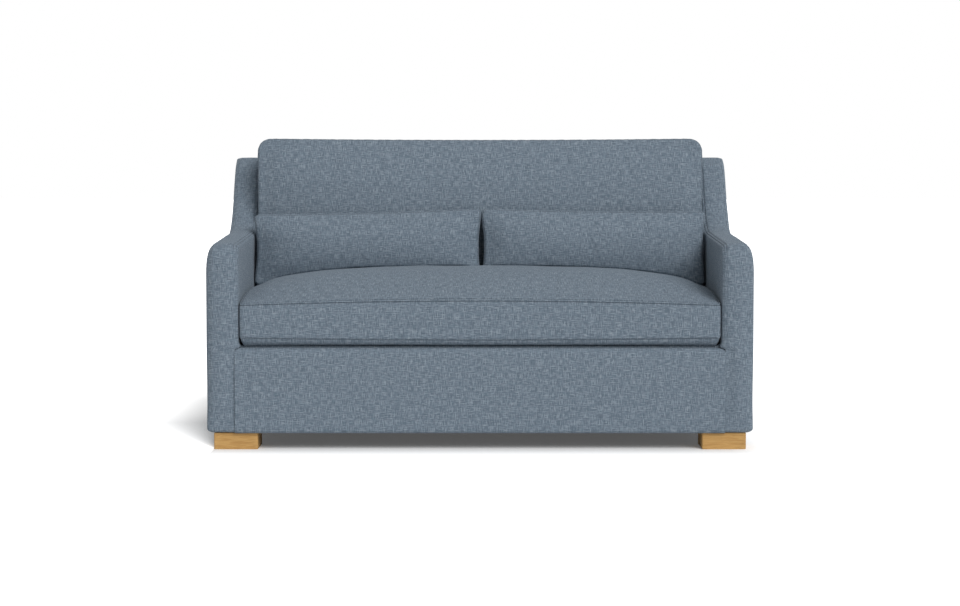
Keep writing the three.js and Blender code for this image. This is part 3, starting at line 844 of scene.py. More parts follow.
@dataclass(frozen=True)
class PlainCloth:
    """Plain woven or bonded cloth on object places: decking, lining and webbing."""

    name: str
    colour: Triple
    pale: Triple
    thread: float

    def material(self) -> Material:
        """Crossed sines for the threads, and broad noise for handling marks.

        Returns:
            The material.
        """
        w = Wiring(self.name)
        place = w.object_place()
        waves = [w.wave(part, math.pi / self.thread) for part in w.parts(place)]
        crossed = w.math("MULTIPLY", waves[0], w.math("ADD", *waves[1:]))
        streak = w.stretched(place, (40, 600, 600))
        broad = w.noise(place, 14.0, 3.0)
        tone = w.math("ADD", w.math("MULTIPLY", streak, 0.6), w.math("MULTIPLY", broad, 0.4))
        colour = w.mix(w.ranged(tone, 0.36, 0.64, 0, 1), self.colour, self.pale)
        height = w.math("ADD", w.math("MULTIPLY", crossed, 0.25), streak)
        return w.finish(colour, w.ranged(tone, 0.3, 0.7, 0.96, 0.84), height, 0.3 * MM, 0.6)


@dataclass(frozen=True)
class CellFoam:
    """Open-cell foam: fine cells under a pale skin that has yellowed in patches."""

    name: str = "cell_foam"
    fresh: Triple = (0.80, 0.74, 0.60)
    aged: Triple = (0.72, 0.60, 0.38)

    def material(self) -> Material:
        """Cells from a fine Voronoi, patches from broad noise.

        Returns:
            The material.
        """
        w = Wiring(self.name)
        place = w.object_place()
        cells = w.node("TexVoronoi", {"Vector": place, "Scale": 700.0})
        patch = w.noise(place, 7.0, 3.0)
        colour = w.mix(w.ranged(patch, 0.4, 0.7, 0, 1), self.fresh, self.aged)
        roughness = w.ranged(patch, 0.3, 0.7, 0.95, 0.85)
        return w.finish(colour, roughness, cells.outputs["Distance"], 0.6 * MM, 0.8)


@dataclass(frozen=True)
class Finishes:
    """The materials that pieces share."""

    cloth: Material
    thread: Material
    decking: Material
    lining: Material
    wadding: Material
    webbing: Material
    hardwood: Material
    oak: Material
    steel: Material


def make_finishes() -> Finishes:
    """Builds every material once.

    Returns:
        The materials.
    """
    recipes = {
        "cloth": HeatheredLinen(),
        "thread": SewingThread("blue_grey_thread", (0.065, 0.085, 0.108)),
        "decking": PlainCloth("decking_cloth", (0.085, 0.10, 0.125), (0.13, 0.15, 0.18), 1.4 * MM),
        "lining": PlainCloth("black_lining", (0.016, 0.016, 0.018), (0.032, 0.032, 0.034), 0.8 * MM),
        "wadding": CellFoam(),
        "webbing": PlainCloth("jute_webbing", (0.20, 0.15, 0.09), (0.34, 0.27, 0.17), 2.4 * MM),
        "hardwood": SolidTimber(
            "sawn_hardwood", (0.56, 0.40, 0.23), (0.40, 0.26, 0.13), 0.72, (3.0, 26.0, 26.0), 0.25
        ),
        "oak": SolidTimber(
            "oiled_oak", (0.52, 0.31, 0.105), (0.40, 0.215, 0.062), 0.5, (5.0, 60.0, 60.0), 0.4
        ),
        "steel": DrawnSteel(),
    }
    return Finishes(**{name: recipe.material() for name, recipe in recipes.items()})


def dress(piece: Object, material: Material) -> None:
    """Gives a piece one material."""
    piece.data.materials.clear()
    piece.data.materials.append(material)


def finish_piece(piece: Object, material: Material, slot: Slot, body: Body, *nodes: str) -> None:
    """Dresses a new piece, sets it on its body and hides the nodes it stands for.

    Args:
        piece: the finished object.
        material: its finish.
        slot: the record's slot of that finish; not used.
        body: the body that it moves with.
        nodes: CAD nodes that it replaces.
    """
    dress(piece, material)
    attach(piece, body.value)
    if nodes:
        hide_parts(*nodes)
    LOG.info("%s: %d vertices, on %s, for %s", piece.name, len(piece.data.vertices), body.value, nodes)


def padded_form(
    name: str, shell: BoxedShell, material: Material, slot: Slot, mirror: bool = False
) -> tuple[Array, Array]:
    """Makes a padded piece of the frame that stands for the CAD node of its name.

    Args:
        name: the CAD node's name.
        shell: the piece's shell.
        material: its finish.
        slot: the record's slot of that finish.
        mirror: True puts it on the other side of the middle plane.

    Returns:
        The piece's points and their normals.
    """
    piece, points, normals = shell_object(f"{name}_form", shell, mirror)
    finish_piece(piece, material, slot, Body.FRAME, name)
    return points, normals


# Places of the frame


@dataclass(frozen=True)
class Lean:
    """The raked plane of the inner back: a place is x, a distance up the back, and one forward."""

    rake: float = math.radians(7)

    def origin(self) -> Array:
        """Foot of the inner back, on the deck."""
        deck_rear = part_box("inner_back_cover")[0]
        return np.array([0.0, deck_rear[1], deck_rear[2]])

    def axes(self) -> Array:
        """Unit vectors across, up the back and forward, as rows."""
        sin, cos = math.sin(self.rake), math.cos(self.rake)
        return np.array([[1.0, 0, 0], [0, sin, cos], [0, -cos, sin]])

    def placed(self, points: Array) -> Array:
        """Points given as (x, up, forward), in the settee's frame."""
        return self.origin() + points @ self.axes()

    def unplaced(self, points: Array) -> Array:
        """Points of the settee's frame as (x, up, forward)."""
        return (points - self.origin()) @ self.axes().T


def node_box(name: str) -> tuple[Array, Array]:
    """Lowest and highest corner of a CAD node."""
    low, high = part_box(name)
    return np.array(low), np.array(high)


LEAN = Lean()
TOP_DROP = 7 * MM  # how far the covers' top edges are pulled down over the frame
CUT_STEP = np.array([0.37, 0.53])  # how far apart in the cloth two seeds are cut, in metres
PANEL_STEP = 0.211  # how far apart in the cloth a cushion's two panels are cut, in metres


@dataclass
class HeightField:
    """The height of a nearly regular grid of points above its own plan."""

    grid: Array

    def at(self, x: Array, y: Array) -> Array:
        """Height at plan places, from the four grid points round each.

        Args:
            x: places across.
            y: places along.

        Returns:
            The heights there.
        """
        rows, columns = self.grid.shape[:2]
        row = np.interp(x, self.grid[..., 0].mean(1), np.arange(rows))
        column = np.interp(y, self.grid[..., 1].mean(0), np.arange(columns))
        r = np.clip(row.astype(int), 0, rows - 2)
        c = np.clip(column.astype(int), 0, columns - 2)
        fr, fc = row - r, column - c
        z = self.grid[..., 2]
        near = z[r, c] * (1 - fc) + z[r, c + 1] * fc
        far = z[r + 1, c] * (1 - fc) + z[r + 1, c + 1] * fc
        return near * (1 - fr) + far * fr


def rounded_plan(
    x: Array, y: Array, half_x: Array, half_y: Array, radius: float
) -> tuple[Array, Array]:
    """Bends the square corners of a plan into quarter circles.

    A point past both straight sides by (a, b) moves to (a, b) times max(a, b) / hypot(a, b).

    Args:
        x: places across.
        y: places along.
        half_x: half the width.
        half_y: half the length.
        radius: the corners' radius.

    Returns:
        The moved places.
    """
    over_x = np.abs(x) - (half_x - radius)
    over_y = np.abs(y) - (half_y - radius)
    beyond = (over_x > 0) & (over_y > 0)
    pull = np.maximum(over_x, over_y) / np.maximum(np.hypot(over_x, over_y), 1e-12)
    new_x = np.where(beyond, np.sign(x) * (half_x - radius + over_x * pull), x)
    new_y = np.where(beyond, np.sign(y) * (half_y - radius + over_y * pull), y)
    return new_x, new_y


@dataclass(frozen=True)
class Inflation:
    """A short cloth simulation under pressure, with the seams held and every move capped."""

    pressure: float = 4.0
    frames: int = 20
    cap: float = 8 * MM
    extra_cloth: float = 0.006
    bending: float = 0.6

    def run(self, points: Array, faces: Array, held: Array, give: Array) -> Array:
        """Inflates a closed shell.

        Args:
            points: vertices, in metres.
            faces: quads that face outwards.
            held: indices of the vertices on the seams.
            give: how much of its move each vertex keeps, from 0 to 1.

        Returns:
            The vertices after the last frame, each within the cap times its give of its start.
        """
        piece = make_mesh("inflating", points, faces)
        group = piece.vertex_groups.new(name="seams")
        group.add(held.tolist(), 1.0, "REPLACE")
        cloth = piece.modifiers.new("Cloth", "CLOTH")
        wanted = {
            "quality": 5,
            "mass": 0.3,
            "tension_stiffness": 15,
            "compression_stiffness": 15,
            "shear_stiffness": 8,
            "bending_stiffness": self.bending,
            "use_pressure": True,
            "uniform_pressure_force": self.pressure,
            "shrink_min": -self.extra_cloth,
            "vertex_group_mass": group.name,
        }
        for key, value in wanted.items():
            setattr(cloth.settings, key, value)
        cloth.settings.effector_weights.gravity = 0
        cloth.point_cache.frame_start = 1
        cloth.point_cache.frame_end = self.frames
        scene = bpy.context.scene
        for number in range(1, self.frames + 1):
            scene.frame_set(number)
        made = piece.evaluated_get(bpy.context.evaluated_depsgraph_get()).data
        moved = np.zeros(len(points) * 3, np.float32)
        made.vertices.foreach_get("co", moved)
        scene.frame_set(1)
        bpy.data.objects.remove(piece)
        shift = moved.reshape(-1, 3) - points
        size = np.linalg.norm(shift, axis=1, keepdims=True)
        LOG.info("inflated %d points, moves up to %.1f mm", len(points), float(size.max()) / MM)
        return points + shift * np.minimum(1, self.cap / np.maximum(size, 1e-9)) * give[:, None]


@dataclass
class LooseCushion:
    """A stuffed cushion: two panels and a boxing, sewn along two seams.

    With u and v from -1 to 1 across and along, the upper seam lies at edge_high + across_rise(1 - u^2)
    + along_rise(1 - v^2), and the crown adds crown(1 - |u|^4.5)(1 - |v|^3). The lower panel falls by
    under from edge_low. The sides draw in by side_pull(1 - v^2)^2 and end_pull(1 - u^2) between the
    corners, and by bulge at both seams; near the end v = 1 they widen by flare.
    """

    name: str
    nodes: tuple[str, ...]
    body: Body
    half_across: float
    half_along: float
    edge_low: float
    edge_high: float
    crown: float
    under: float
    corner_radius: float
    seed: int
    across_rise: float = 0.0
    along_rise: float = 0.0
    under_round: float = 0.0
    side_pull: float = 3 * MM
    flare: float = 0.0
    end_pull: float = 5 * MM
    bulge: float = 3 * MM
    soft_reach: float = 70 * MM
    boxing_give: float = 0.6
    upper_seam: SeamRelief = PLAIN_SEAM
    lower_seam: SeamRelief = PLAIN_SEAM
    fill: float = 0.8
    pitch: float = 12 * MM
    fine_pitch: float = 7.5 * MM
    lump: float = 1.2 * MM
    lump_length: float = 210 * MM
    pucker: float = 0.5 * MM
    pucker_length: float = 26 * MM
    boxing_pucker_length: float = 30 * MM
    inflation: Inflation = Inflation()
    shell: BoxedShell | None = None

    def plan(self, u: Array, v: Array, w: Array) -> tuple[Array, Array]:
        """Plan place of a point at heights w from -1, the lower seam, to 1, the upper one.

        Args:
            u: places across, from -1 to 1.
            v: places along, from -1 to 1.
            w: heights, from -1 to 1.

        Returns:
            Places across and along, in metres.
        """
        edge = self.bulge * w * w
        span_x = self.half_across + self.flare * smoothstep(v, 0.25, 0.85) - edge
        span_x -= self.side_pull * (1 - v * v) ** 2
        span_y = self.half_along - edge - self.end_pull * (1 - u * u)
        return rounded_plan(u * span_x, v * span_y, span_x, span_y, self.corner_radius)

    def seam_height(self, u: Array, v: Array) -> Array:
        """Height of the upper seam's surface before its crown."""
        return self.edge_high + self.across_rise * (1 - u * u) + self.along_rise * (1 - v * v)

    def upper(self, u: Array, v: Array) -> Array:
        """The upper panel.

        Args:
            u: places across, from -1 to 1.
            v: places along, from -1 to 1.

        Returns:
            Its points.
        """
        x, y = self.plan(u, v, np.ones_like(u))
        dome = (1 - np.abs(u) ** 4.5) * (1 - np.abs(v) ** 3)
        return np.stack([x, y, self.seam_height(u, v) + self.crown * dome], -1)

    def lower(self, u: Array, v: Array) -> Array:
        """The lower panel: rolled under by 1 - (1 - share)^1.6 of its reach, or a pillow's crown.

        Args:
            u: places across, from -1 to 1.
            v: places along, from -1 to 1.

        Returns:
            Its points.
        """
        x, y = self.plan(u, v, -np.ones_like(u))
        if self.under_round:
            inside = np.minimum((self.half_across - np.abs(x)) * 1.7, self.half_along - np.abs(y))
            fall = 1 - (1 - np.clip(inside / self.under_round, 0, 1)) ** 1.6
        else:
            fall = (1 - np.abs(u) ** 4) * (1 - np.abs(v) ** 4)
        return np.stack([x, y, self.edge_low - self.under * fall], -1)

    def side_height(self) -> float:
        """Height of the boxing at the corners."""
        return self.edge_high - self.edge_low

    def coarse(self) -> tuple[BoxedShell, int]:
        """The shell at the pitch of the simulation, and how many steps its boxing has.

        Returns:
            The shell and the number of steps.
        """
        rows = round(2 * self.half_across / self.pitch) + 1
        columns = round(2 * self.half_along / self.pitch) + 1
        steps = max(3, round(self.side_height() / self.pitch))
        u, v = np.meshgrid(np.linspace(-1, 1, rows), np.linspace(-1, 1, columns), indexing="ij")
        row, column = perimeter(rows, columns)
        border_u, border_v = u[row, column], v[row, column]
        w = np.linspace(1, -1, steps + 1)[1:-1, None] * np.ones(len(row))
        x, y = self.plan(border_u, border_v, w)
        top = self.seam_height(border_u, border_v)
        z = self.edge_low + (top - self.edge_low) * (w + 1) / 2
        return BoxedShell(self.upper(u, v), self.lower(u, v), np.stack([x, y, z], -1)), steps

    def inflated(self, shell: BoxedShell) -> Array:
        """Args:
            shell: the cushion's shell.

        Returns:
            Its points.
        """
        points = shell.vertices()
        faces = shell.faces()
        if signed_volume(points, faces) < 0:
            faces = faces[:, ::-1]
        ladder = shell.ladder()
        return self.inflation.run(points, faces, np.unique(ladder[[0, -1]]), self.give(shell))

    def give(self, shell: BoxedShell) -> Array:
        """How freely each vertex swells: panels more from the seam inwards, the boxing by one share.

        Args:
            shell: the cushion's shell.

        Returns:
            Shares from 0 to 1, one for each vertex.
        """
        rows, columns = shell.first.shape[:2]
        from_row = np.minimum(np.arange(rows), np.arange(rows)[::-1])[:, None]
        from_column = np.minimum(np.arange(columns), np.arange(columns)[::-1])[None]
        panel = smoothstep(np.minimum(from_row, from_column) * self.pitch, 0, self.soft_reach).ravel()
        boxing = np.full(shell.boxing.shape[:2], self.boxing_give).ravel()
        return np.concatenate([panel, panel, boxing])

    def fine(self) -> BoxedShell:
        """The finished shell: the inflated one sampled finely, dense near its seams.

        Returns:
            The shell, relief included.
        """
        coarse, steps = self.coarse()
        points = self.inflated(coarse)
        rows, columns = coarse.first.shape[:2]
        first, second = points[: 2 * rows * columns].reshape(2, rows, columns, 3)
        across = lines(2 * self.half_across, NEAR_SEAM, self.fine_pitch)
        along = lines(2 * self.half_along, NEAR_SEAM, self.fine_pitch)
        down = lines(self.side_height(), NEAR_SEAM, self.fine_pitch)
        at_row = across / across[-1] * (rows - 1)
        at_column = along / along[-1] * (columns - 1)
        at_step = down / down[-1] * steps
        ladder = points[closed(coarse.ladder().T).T]
        sides = []
        for side, places in zip(border_sides(rows, columns), (at_row, at_column, at_row, at_column)):
            sides.append(resample(ladder[:, side], at_step, places)[:, :-1])
        shell = BoxedShell(
            resample(first, at_row, at_column),
            resample(second, at_row, at_column),
            np.concatenate(sides, axis=1)[1:-1],
            *self.flats(across, along, down),
        )
        self.add_relief(shell, across, along, down)
        return shell

    def flats(self, across: Array, along: Array, down: Array) -> tuple[Array, Array, Array]:
        """Flat places of the panels and of the boxing, which runs on round the cushion.

        Args:
            across: places across, from 0.
            along: places along, from 0.
            down: places down the boxing, from 0.

        Returns:
            Flat places of the upper panel, the lower panel and the boxing.
        """
        offset = CUT_STEP * self.seed
        flat = np.stack(np.meshgrid(across, along, indexing="ij"), -1) + offset
        round_it = np.concatenate([across, across[-1] + along[1:]])
        round_it = np.concatenate([round_it, round_it[-1] + round_it[1:]])
        boxing = np.stack(np.meshgrid(round_it, down), -1) + offset[::-1]
        return flat, flat + PANEL_STEP, boxing

    def add_relief(self, shell: BoxedShell, across: Array, along: Array, down: Array) -> None:
        """Seams, puckers beside them and the stuffing's lumps, as heights over the surface.

        Args:
            shell: the shell, which takes them.
            across: places across, from 0.
            along: places along, from 0.
            down: places down the boxing, from 0.
        """
        x, y, from_x, from_y = spread(across, along)
        inside = np.minimum(from_x, from_y)
        puckers = ripple(x, self.pucker_length, self.seed) * self.fade(from_y)
        puckers += ripple(y, self.pucker_length, self.seed + 1) * self.fade(from_x)
        soft = lumps(x, y, self.lump_length, self.seed + 2) * smoothstep(inside, 0, 70 * MM)
        common = self.pucker * puckers + self.lump * soft
        shell.first_relief = self.upper_seam.height(inside) + common
        shell.second_relief = self.lower_seam.height(inside) + 0.6 * common
        border = shell.boxing.shape[1]
        round_it = np.arange(border) / border * 4 * (self.half_across + self.half_along)
        below = down[1:-1, None] * np.ones(border)
        above = down[-1] - below
        side = ripple(round_it[None] + 0 * below, self.boxing_pucker_length, self.seed + 3)
        side *= self.fade(below) + self.fade(above)
        seams = self.upper_seam.height(below) + self.lower_seam.height(above)
        shell.boxing_relief = seams + 0.7 * self.pucker * side
        # How deep in the seams each vertex lies, which sets the cloth's painted shade
        on_boxing = self.upper_seam.depth(below) + self.lower_seam.depth(above)
        panels = (self.upper_seam.depth(inside), self.lower_seam.depth(inside))
        shell.seam = np.concatenate([depth.ravel() for depth in (*panels, on_boxing)])

    def fade(self, distance: Array) -> Array:
        """Where puckers show: from just past a seam's stitches to a few centimetres off."""
        return smoothstep(distance, 2 * MM, 9 * MM) * np.exp(-distance / (16 * MM))

    def stitched(self, points: Array, normals: Array) -> list[tuple[Array, Array]]:
        """Two rows of topstitching along the upper seam, one on the panel and one on the boxing.

        Args:
            points: the finished piece's vertices.
            normals: their normals.

        Returns:
            The rows as vertices and quads.
        """
        rows, columns = self.shell.first.shape[:2]
        index = np.arange(rows * columns).reshape(rows, columns)
        inner = index[STITCH_LINE : rows - STITCH_LINE, STITCH_LINE : columns - STITCH_LINE]
        row, column = perimeter(*inner.shape)
        ladder = self.shell.ladder()[STITCH_LINE]
        thread = Topstitch()
        return [thread.row(points[ring], normals[ring], True) for ring in (inner[row, column], ladder)]

    def place(self, points: Array) -> Array:
        """Local points in the settee's frame."""
        raise NotImplementedError

    def settle(self, points: Array) -> Array:
        """Points pressed flat where the cushion rests on something."""
        return points

    def build(self, finishes: Finishes) -> None:
        """Makes the cushion and its topstitching.

        Args:
            finishes: the shared materials.
        """
        self.shell = self.fine()
        for part in ("first", "second", "boxing"):
            setattr(self.shell, part, self.settle(self.place(getattr(self.shell, part))))
        piece, points, normals = shell_object(self.name, self.shell)
        finish_piece(piece, finishes.cloth, Slot.CLOTH, self.body, *self.nodes)
        if self.upper_seam.row:
            stitches = stitch_object(f"{self.name}_topstitch", self.stitched(points, normals))
            finish_piece(stitches, finishes.thread, Slot.CLOTH, self.body)


@dataclass
class SeatCushion(LooseCushion):
    """The bench seat cushion, on the deck between the arms."""

    def place(self, points: Array) -> Array:
        """Moved to the deck, behind the arm fronts."""
        low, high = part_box("seat_cushion_cover")
        return points + np.array([0, (low[1] + high[1]) / 2, low[2]])

    def top(self) -> HeightField:
        """The upper panel as a height above the floor."""
        return HeightField(self.shell.first)


@dataclass
class LeaningCushion(LooseCushion):
    """A cushion that leans on the back and stands on the seat."""

    middle: float = 0.0
    middle_x: float = 0.0
    away: float = 0.0
    seat: HeightField | None = None
    behind: HeightField | None = None
    rest_gap: float = 0.6 * MM
    droop: tuple[int, float] = (1, 0.0)

    def place(self, points: Array) -> Array:
        """Laid up the back, its top drooping to one end: local y runs up it and local z forward.

        Args:
            points: points of the flat cushion.

        Returns:
            The points where it leans.
        """
        way, drop = self.droop
        outwards = (way * points[..., 0] / self.half_across + 1) / 2
        upwards = (points[..., 1] / self.half_along + 1) / 2
        points = points - np.stack([0 * outwards, drop * outwards * upwards, 0 * outwards], -1)
        return LEAN.placed(points + np.array([self.middle_x, self.middle, self.away]))

    def settle(self, points: Array) -> Array:
        """Kept above the seat's crown, and in front of the cushion behind.

        Args:
            points: points of the placed cushion.

        Returns:
            The points pressed in.
        """
        if self.behind is not None:
            local = LEAN.unplaced(points)
            front = self.behind.at(local[..., 0], local[..., 1]) + self.rest_gap
            local[..., 2] = np.maximum(local[..., 2], front)
            points = LEAN.placed(local)
        floor = self.seat.at(points[..., 0], points[..., 1]) + self.rest_gap
        points[..., 2] = np.maximum(points[..., 2], floor)
        return points

    def front(self) -> HeightField:
        """The front panel as a distance forward of the inner back."""
        return HeightField(LEAN.unplaced(self.shell.first))


# Upholstery of the frame


def even_share(one: Array, other: Array) -> Array:
    """Distance along two paths as shares of their lengths, averaged."""
    places = [along_path(path) for path in (one, other)]
    return sum(place / place[-1] for place in places) / 2


def coons(bottom: Array, rear: Array, top: Array, front: Array) -> Array:
    """Fills four curves with a grid.

    Each point is the blend of bottom and top, plus that of front and rear, less that of the corners.

    Args:
        bottom: points of column 0, from the first row to the last.
        rear: points of the last row, from the first column to the last.
        top: points of the last column, in the rows' order.
        front: points of row 0, in the columns' order.

    Returns:
        A grid of rows x columns points.
    """
    u = even_share(bottom, top)[:, None, None]
    v = even_share(front, rear)[None, :, None]
    across = (1 - v) * bottom[:, None] + v * top[:, None]
    along = (1 - u) * front[None] + u * rear[None]
    corners = (1 - u) * ((1 - v) * bottom[0] + v * top[0]) + u * ((1 - v) * bottom[-1] + v * top[-1])
    return across + along - corners


def filled(loop: Array, rows: int, columns: int) -> Array:
    """A grid inside a closed loop that runs in the order of perimeter().

    Args:
        loop: its points.
        rows: how many rows the grid has.
        columns: how many columns the grid has.

    Returns:
        A grid of rows x columns points.
    """
    ring = closed(loop)
    bottom, rear, top, front = (ring[side] for side in border_sides(rows, columns))
    return coons(bottom, rear, top[::-1], front[::-1])


def arc(centre: Array, radius: float, start: float, end: float, step: float = 2 * MM) -> Array:
    """Points of a circular arc in a plane, angles in degrees.

    Args:
        centre: its centre.
        radius: its radius.
        start: the first angle.
        end: the last angle.
        step: about how far apart its points are.

    Returns:
        The points.
    """
    count = max(3, math.ceil(abs(math.radians(end - start)) * radius / step))
    angle = np.radians(np.linspace(start, end, count + 1))
    return np.asarray(centre) + radius * np.stack([np.cos(angle), np.sin(angle)], -1)


def bezier(a: Array, b: Array, c: Array, d: Array, count: int = 60) -> Array:
    """Points of a cubic Bezier curve."""
    t = np.linspace(0, 1, count + 1)[:, None]
    return a * (1 - t) ** 3 + 3 * b * t * (1 - t) ** 2 + 3 * c * t * t * (1 - t) + d * t**3


def dense_ends(path: Array, near: Array, count: int) -> Array:
    """Points along a path: at the near distances from both ends, and count even steps between them.

    Args:
        path: points of the path.
        near: rising distances from an end.
        count: how many steps.

    Returns:
        The new points.
    """
    distance = along_path(path)
    middle = np.linspace(near[-1], distance[-1] - near[-1], count + 1)
    places = np.concatenate([near[:-1], middle, (distance[-1] - near[:-1])[::-1]])
    return np.stack([np.interp(places, distance, path[:, k]) for k in range(path.shape[1])], -1)


def plane_normals(loop: Array) -> Array:
    """Outward normals of a closed plane loop that runs anticlockwise."""
    tangent = unit(np.roll(loop, -1, axis=0) - loop) + unit(loop - np.roll(loop, 1, axis=0))
    return unit(np.stack([tangent[:, 1], -tangent[:, 0]], -1))


NEAR_EDGE = np.array([0, 2, 4, 6, 8, 11, 15, 20]) * MM
NEAR_HEM = np.array([0, 8, 20]) * MM
NEAR_CORNER = np.array([*range(0, 37, 3), 40, 45]) * MM


@dataclass
class ScoopArm:
    """An upholstered arm: level in front, scooped up to the back, with a band between two panels.

    In side view its outline is a closed loop. From it, the section runs from the inner panel round a
    small edge, over the band, and round a larger edge to the outer panel. Inwards of the loop, every
    inset shrinks towards the rear, where the cover is pulled flat behind the back panel. Shares say
    how much of a thing is left in one place, pull how deep the seams are drawn on this arm and how
    dark the painted shade in their grooves is, and behind_panel how far short of the part's rear it ends.
    """

    side: Side
    bottom_radius: float = 11 * MM
    top_radius: float = 50 * MM
    rear_radius: float = 5 * MM
    front_height: float = 634 * MM
    slope_height: float = 657 * MM
    scoop_rear_flat: float = 115 * MM
    scoop_length: float = 305 * MM
    low_handle: float = 0.58
    high_handle: float = 0.36
    inner_strip: float = 15 * MM
    inner_radius: float = 16 * MM
    outer_radius: float = 21 * MM
    inner_seam_share: float = 0.8
    outer_seam_share: float = 0.3
    ease: float = 5 * MM
    low_corner_share: float = 0.55
    front_seam_share: float = 0.3
    outer_seam_strength: float = 0.5
    shoulder_fall: float = 0.8
    pull: float = 1.0
    rear_share: float = 0.2
    base_step: float = 16.2 * MM
    band_crown: float = 5 * MM
    side_swell: float = 7 * MM
    base_share: float = 0.02
    behind_panel: float = 13 * MM
    inner_part: float = 0.4
    cut_step: float = 0.17
    pitch: float = 9 * MM
    fill: float = 0.9

    @property
    def name(self) -> str:
        """The CAD node that the arm stands for."""
        return f"{self.side.word}_arm_cover"

    def box(self) -> tuple[Array, Array]:
        """The right arm's CAD box, whichever side this is."""
        return node_box("right_arm_cover")

    def sides(self) -> list[Array]:
        """The outline's four sides as (y, z): bottom, rear, top from the rear, front going down.

        Returns:
            Points of each side.
        """
        low, high = self.box()
        front, rear = low[1], CAD_BOX[1][1] - self.behind_panel
        bottom, peak = low[2], high[2] - TOP_DROP
        r, big, small = self.bottom_radius, self.top_radius, self.rear_radius
        end = np.array([CAD_BOX[1][1] - self.scoop_rear_flat, peak])
        start = np.array([end[0] - self.scoop_length, self.slope_height])
        shoulder = np.array([front + big, self.front_height])
        rise = (start - shoulder) / (start[0] - shoulder[0])
        scoop = bezier(
            start,
            start + rise * self.low_handle * self.scoop_length,
            end - np.array([self.high_handle * self.scoop_length, 0]),
            end,
        )
        low_front = np.array([front + r, bottom + r])
        low_rear = np.array([rear - small, bottom + small])
        high_rear = np.array([rear - small, peak - small])
        high_front = shoulder - np.array([0, big])
        return [
            np.concatenate([arc(low_front, r, 225, 270), arc(low_rear, small, 270, 315)]),
            np.concatenate([arc(low_rear, small, 315, 360), arc(high_rear, small, 0, 45)]),
            np.concatenate([arc(high_rear, small, 45, 90), scoop[::-1], arc(high_front, big, 90, 135)]),
            np.concatenate([arc(high_front, big, 135, 180), arc(low_front, r, 180, 225)]),
        ]

    def face(self, y: Array, z: Array) -> Array:
        """The inner face's x: stepped out below the deck and behind the inner back, out of sight.

        Args:
            y: places from front to rear.
            z: heights above the floor.

        Returns:
            The x of the face there.
        """
        low, _ = self.box()
        back_low, back_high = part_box("inner_back_cover")
        lean_y = back_low[1] + (z - back_low[2]) * math.tan(LEAN.rake)
        under_band = falling(z, back_high[2] - 75 * MM, back_high[2] - 60 * MM)
        behind = smoothstep(y - lean_y, 8 * MM, 16 * MM) * under_band
        hidden = np.maximum(self.below_deck(z), behind)
        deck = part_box("deck_cover")[1][2]
        ease = self.ease * smoothstep(z, deck, deck + 11 * MM)
        return low[0] + ease + (self.base_step - ease) * hidden

    def below_deck(self, z: Array) -> Array:
        """One below the deck, where the arm meets the base front, and zero above it."""
        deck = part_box("deck_cover")[1][2]
        return falling(z, deck - 10 * MM, deck - 2 * MM)

    def swell(self, y: Array, z: Array) -> Array:
        """How far the padding pushes the outer panel out: most in front, nothing to the rear.

        Args:
            y: places from front to rear.
            z: heights above the floor.

        Returns:
            The distances, in metres.
        """
        low, _ = self.box()
        falls = falling(y - low[1], 150 * MM, 480 * MM)
        falls *= 0.8 + 0.2 * smoothstep(z, 150 * MM, 330 * MM)
        at_top = smoothstep(z, self.front_height - 90 * MM, self.front_height)
        return self.side_swell * falls * (1 - 0.7 * at_top)

    def arcs(self) -> tuple[float, float, float]:
        """Lengths of the inner and the outer edge's arcs, and where the band ends along the section.

        Returns:
            Both lengths and the place.
        """
        low, high = self.box()
        width = high[0] - low[0]
        inner_arc, outer_arc = self.inner_radius * math.pi / 2, self.outer_radius * math.pi / 2
        band_end = self.inner_strip + inner_arc + width - self.inner_radius - self.outer_radius
        return inner_arc, outer_arc, band_end

    def seams(self) -> tuple[float, float]:
        """Where the inner and the outer seam lie along the section.

        Returns:
            Both distances.
        """
        inner_arc, outer_arc, band_end = self.arcs()
        inner_seam = self.inner_strip + self.inner_seam_share * inner_arc
        return inner_seam, band_end + self.outer_seam_share * outer_arc

    def section(self) -> tuple[Array, Array, Array, Array]:
        """The rows from the inner panel to the outer one.

        Returns:
            The distance along the section; how far across the arm each row is, from 0 to 1; the
            inset; and the relief of the band's crown.
        """
        low, high = self.box()
        inner_arc, outer_arc, band_end = self.arcs()
        inner_seam, outer_seam = self.seams()
        total = band_end + outer_arc
        middle = np.linspace(inner_seam + NEAR_SEAM[-1], outer_seam - NEAR_SEAM[-1], 9)[1:-1]
        about = np.concatenate([-NEAR_SEAM[::-1], NEAR_SEAM[1:]])
        rows = np.concatenate([inner_seam + about, middle, outer_seam + about])
        rows = np.concatenate([[0], rows[(rows > 1 * MM) & (rows < total - 1 * MM)], [total]])
        turn = np.clip((rows - self.inner_strip) / self.inner_radius, 0, math.pi / 2)
        inset = np.maximum(self.inner_strip - rows, 0) + self.inner_radius * (1 - np.sin(turn))
        x = self.inner_radius * (1 - np.cos(turn))
        x += np.clip(rows - self.inner_strip - inner_arc, 0, band_end - self.inner_strip - inner_arc)
        turn = np.clip((rows - band_end) / self.outer_radius, 0, math.pi / 2)
        inset += self.outer_radius * (1 - np.cos(turn))
        x += self.outer_radius * np.sin(turn)
        share = np.clip((rows - inner_seam) / (outer_seam - inner_seam), 0, 1)
        crown = self.band_crown * 4 * share * (1 - share)
        return rows, x / (high[0] - low[0]), inset, crown

    def stitch_rows(self, rows: Array) -> list[int]:
        """Which two rows of the section carry stitches, one on each side of the inner seam."""
        places = [self.seams()[0] + way * NEAR_SEAM[STITCH_LINE] for way in (-1, 1)]
        return [int(np.abs(rows - place).argmin()) for place in places]

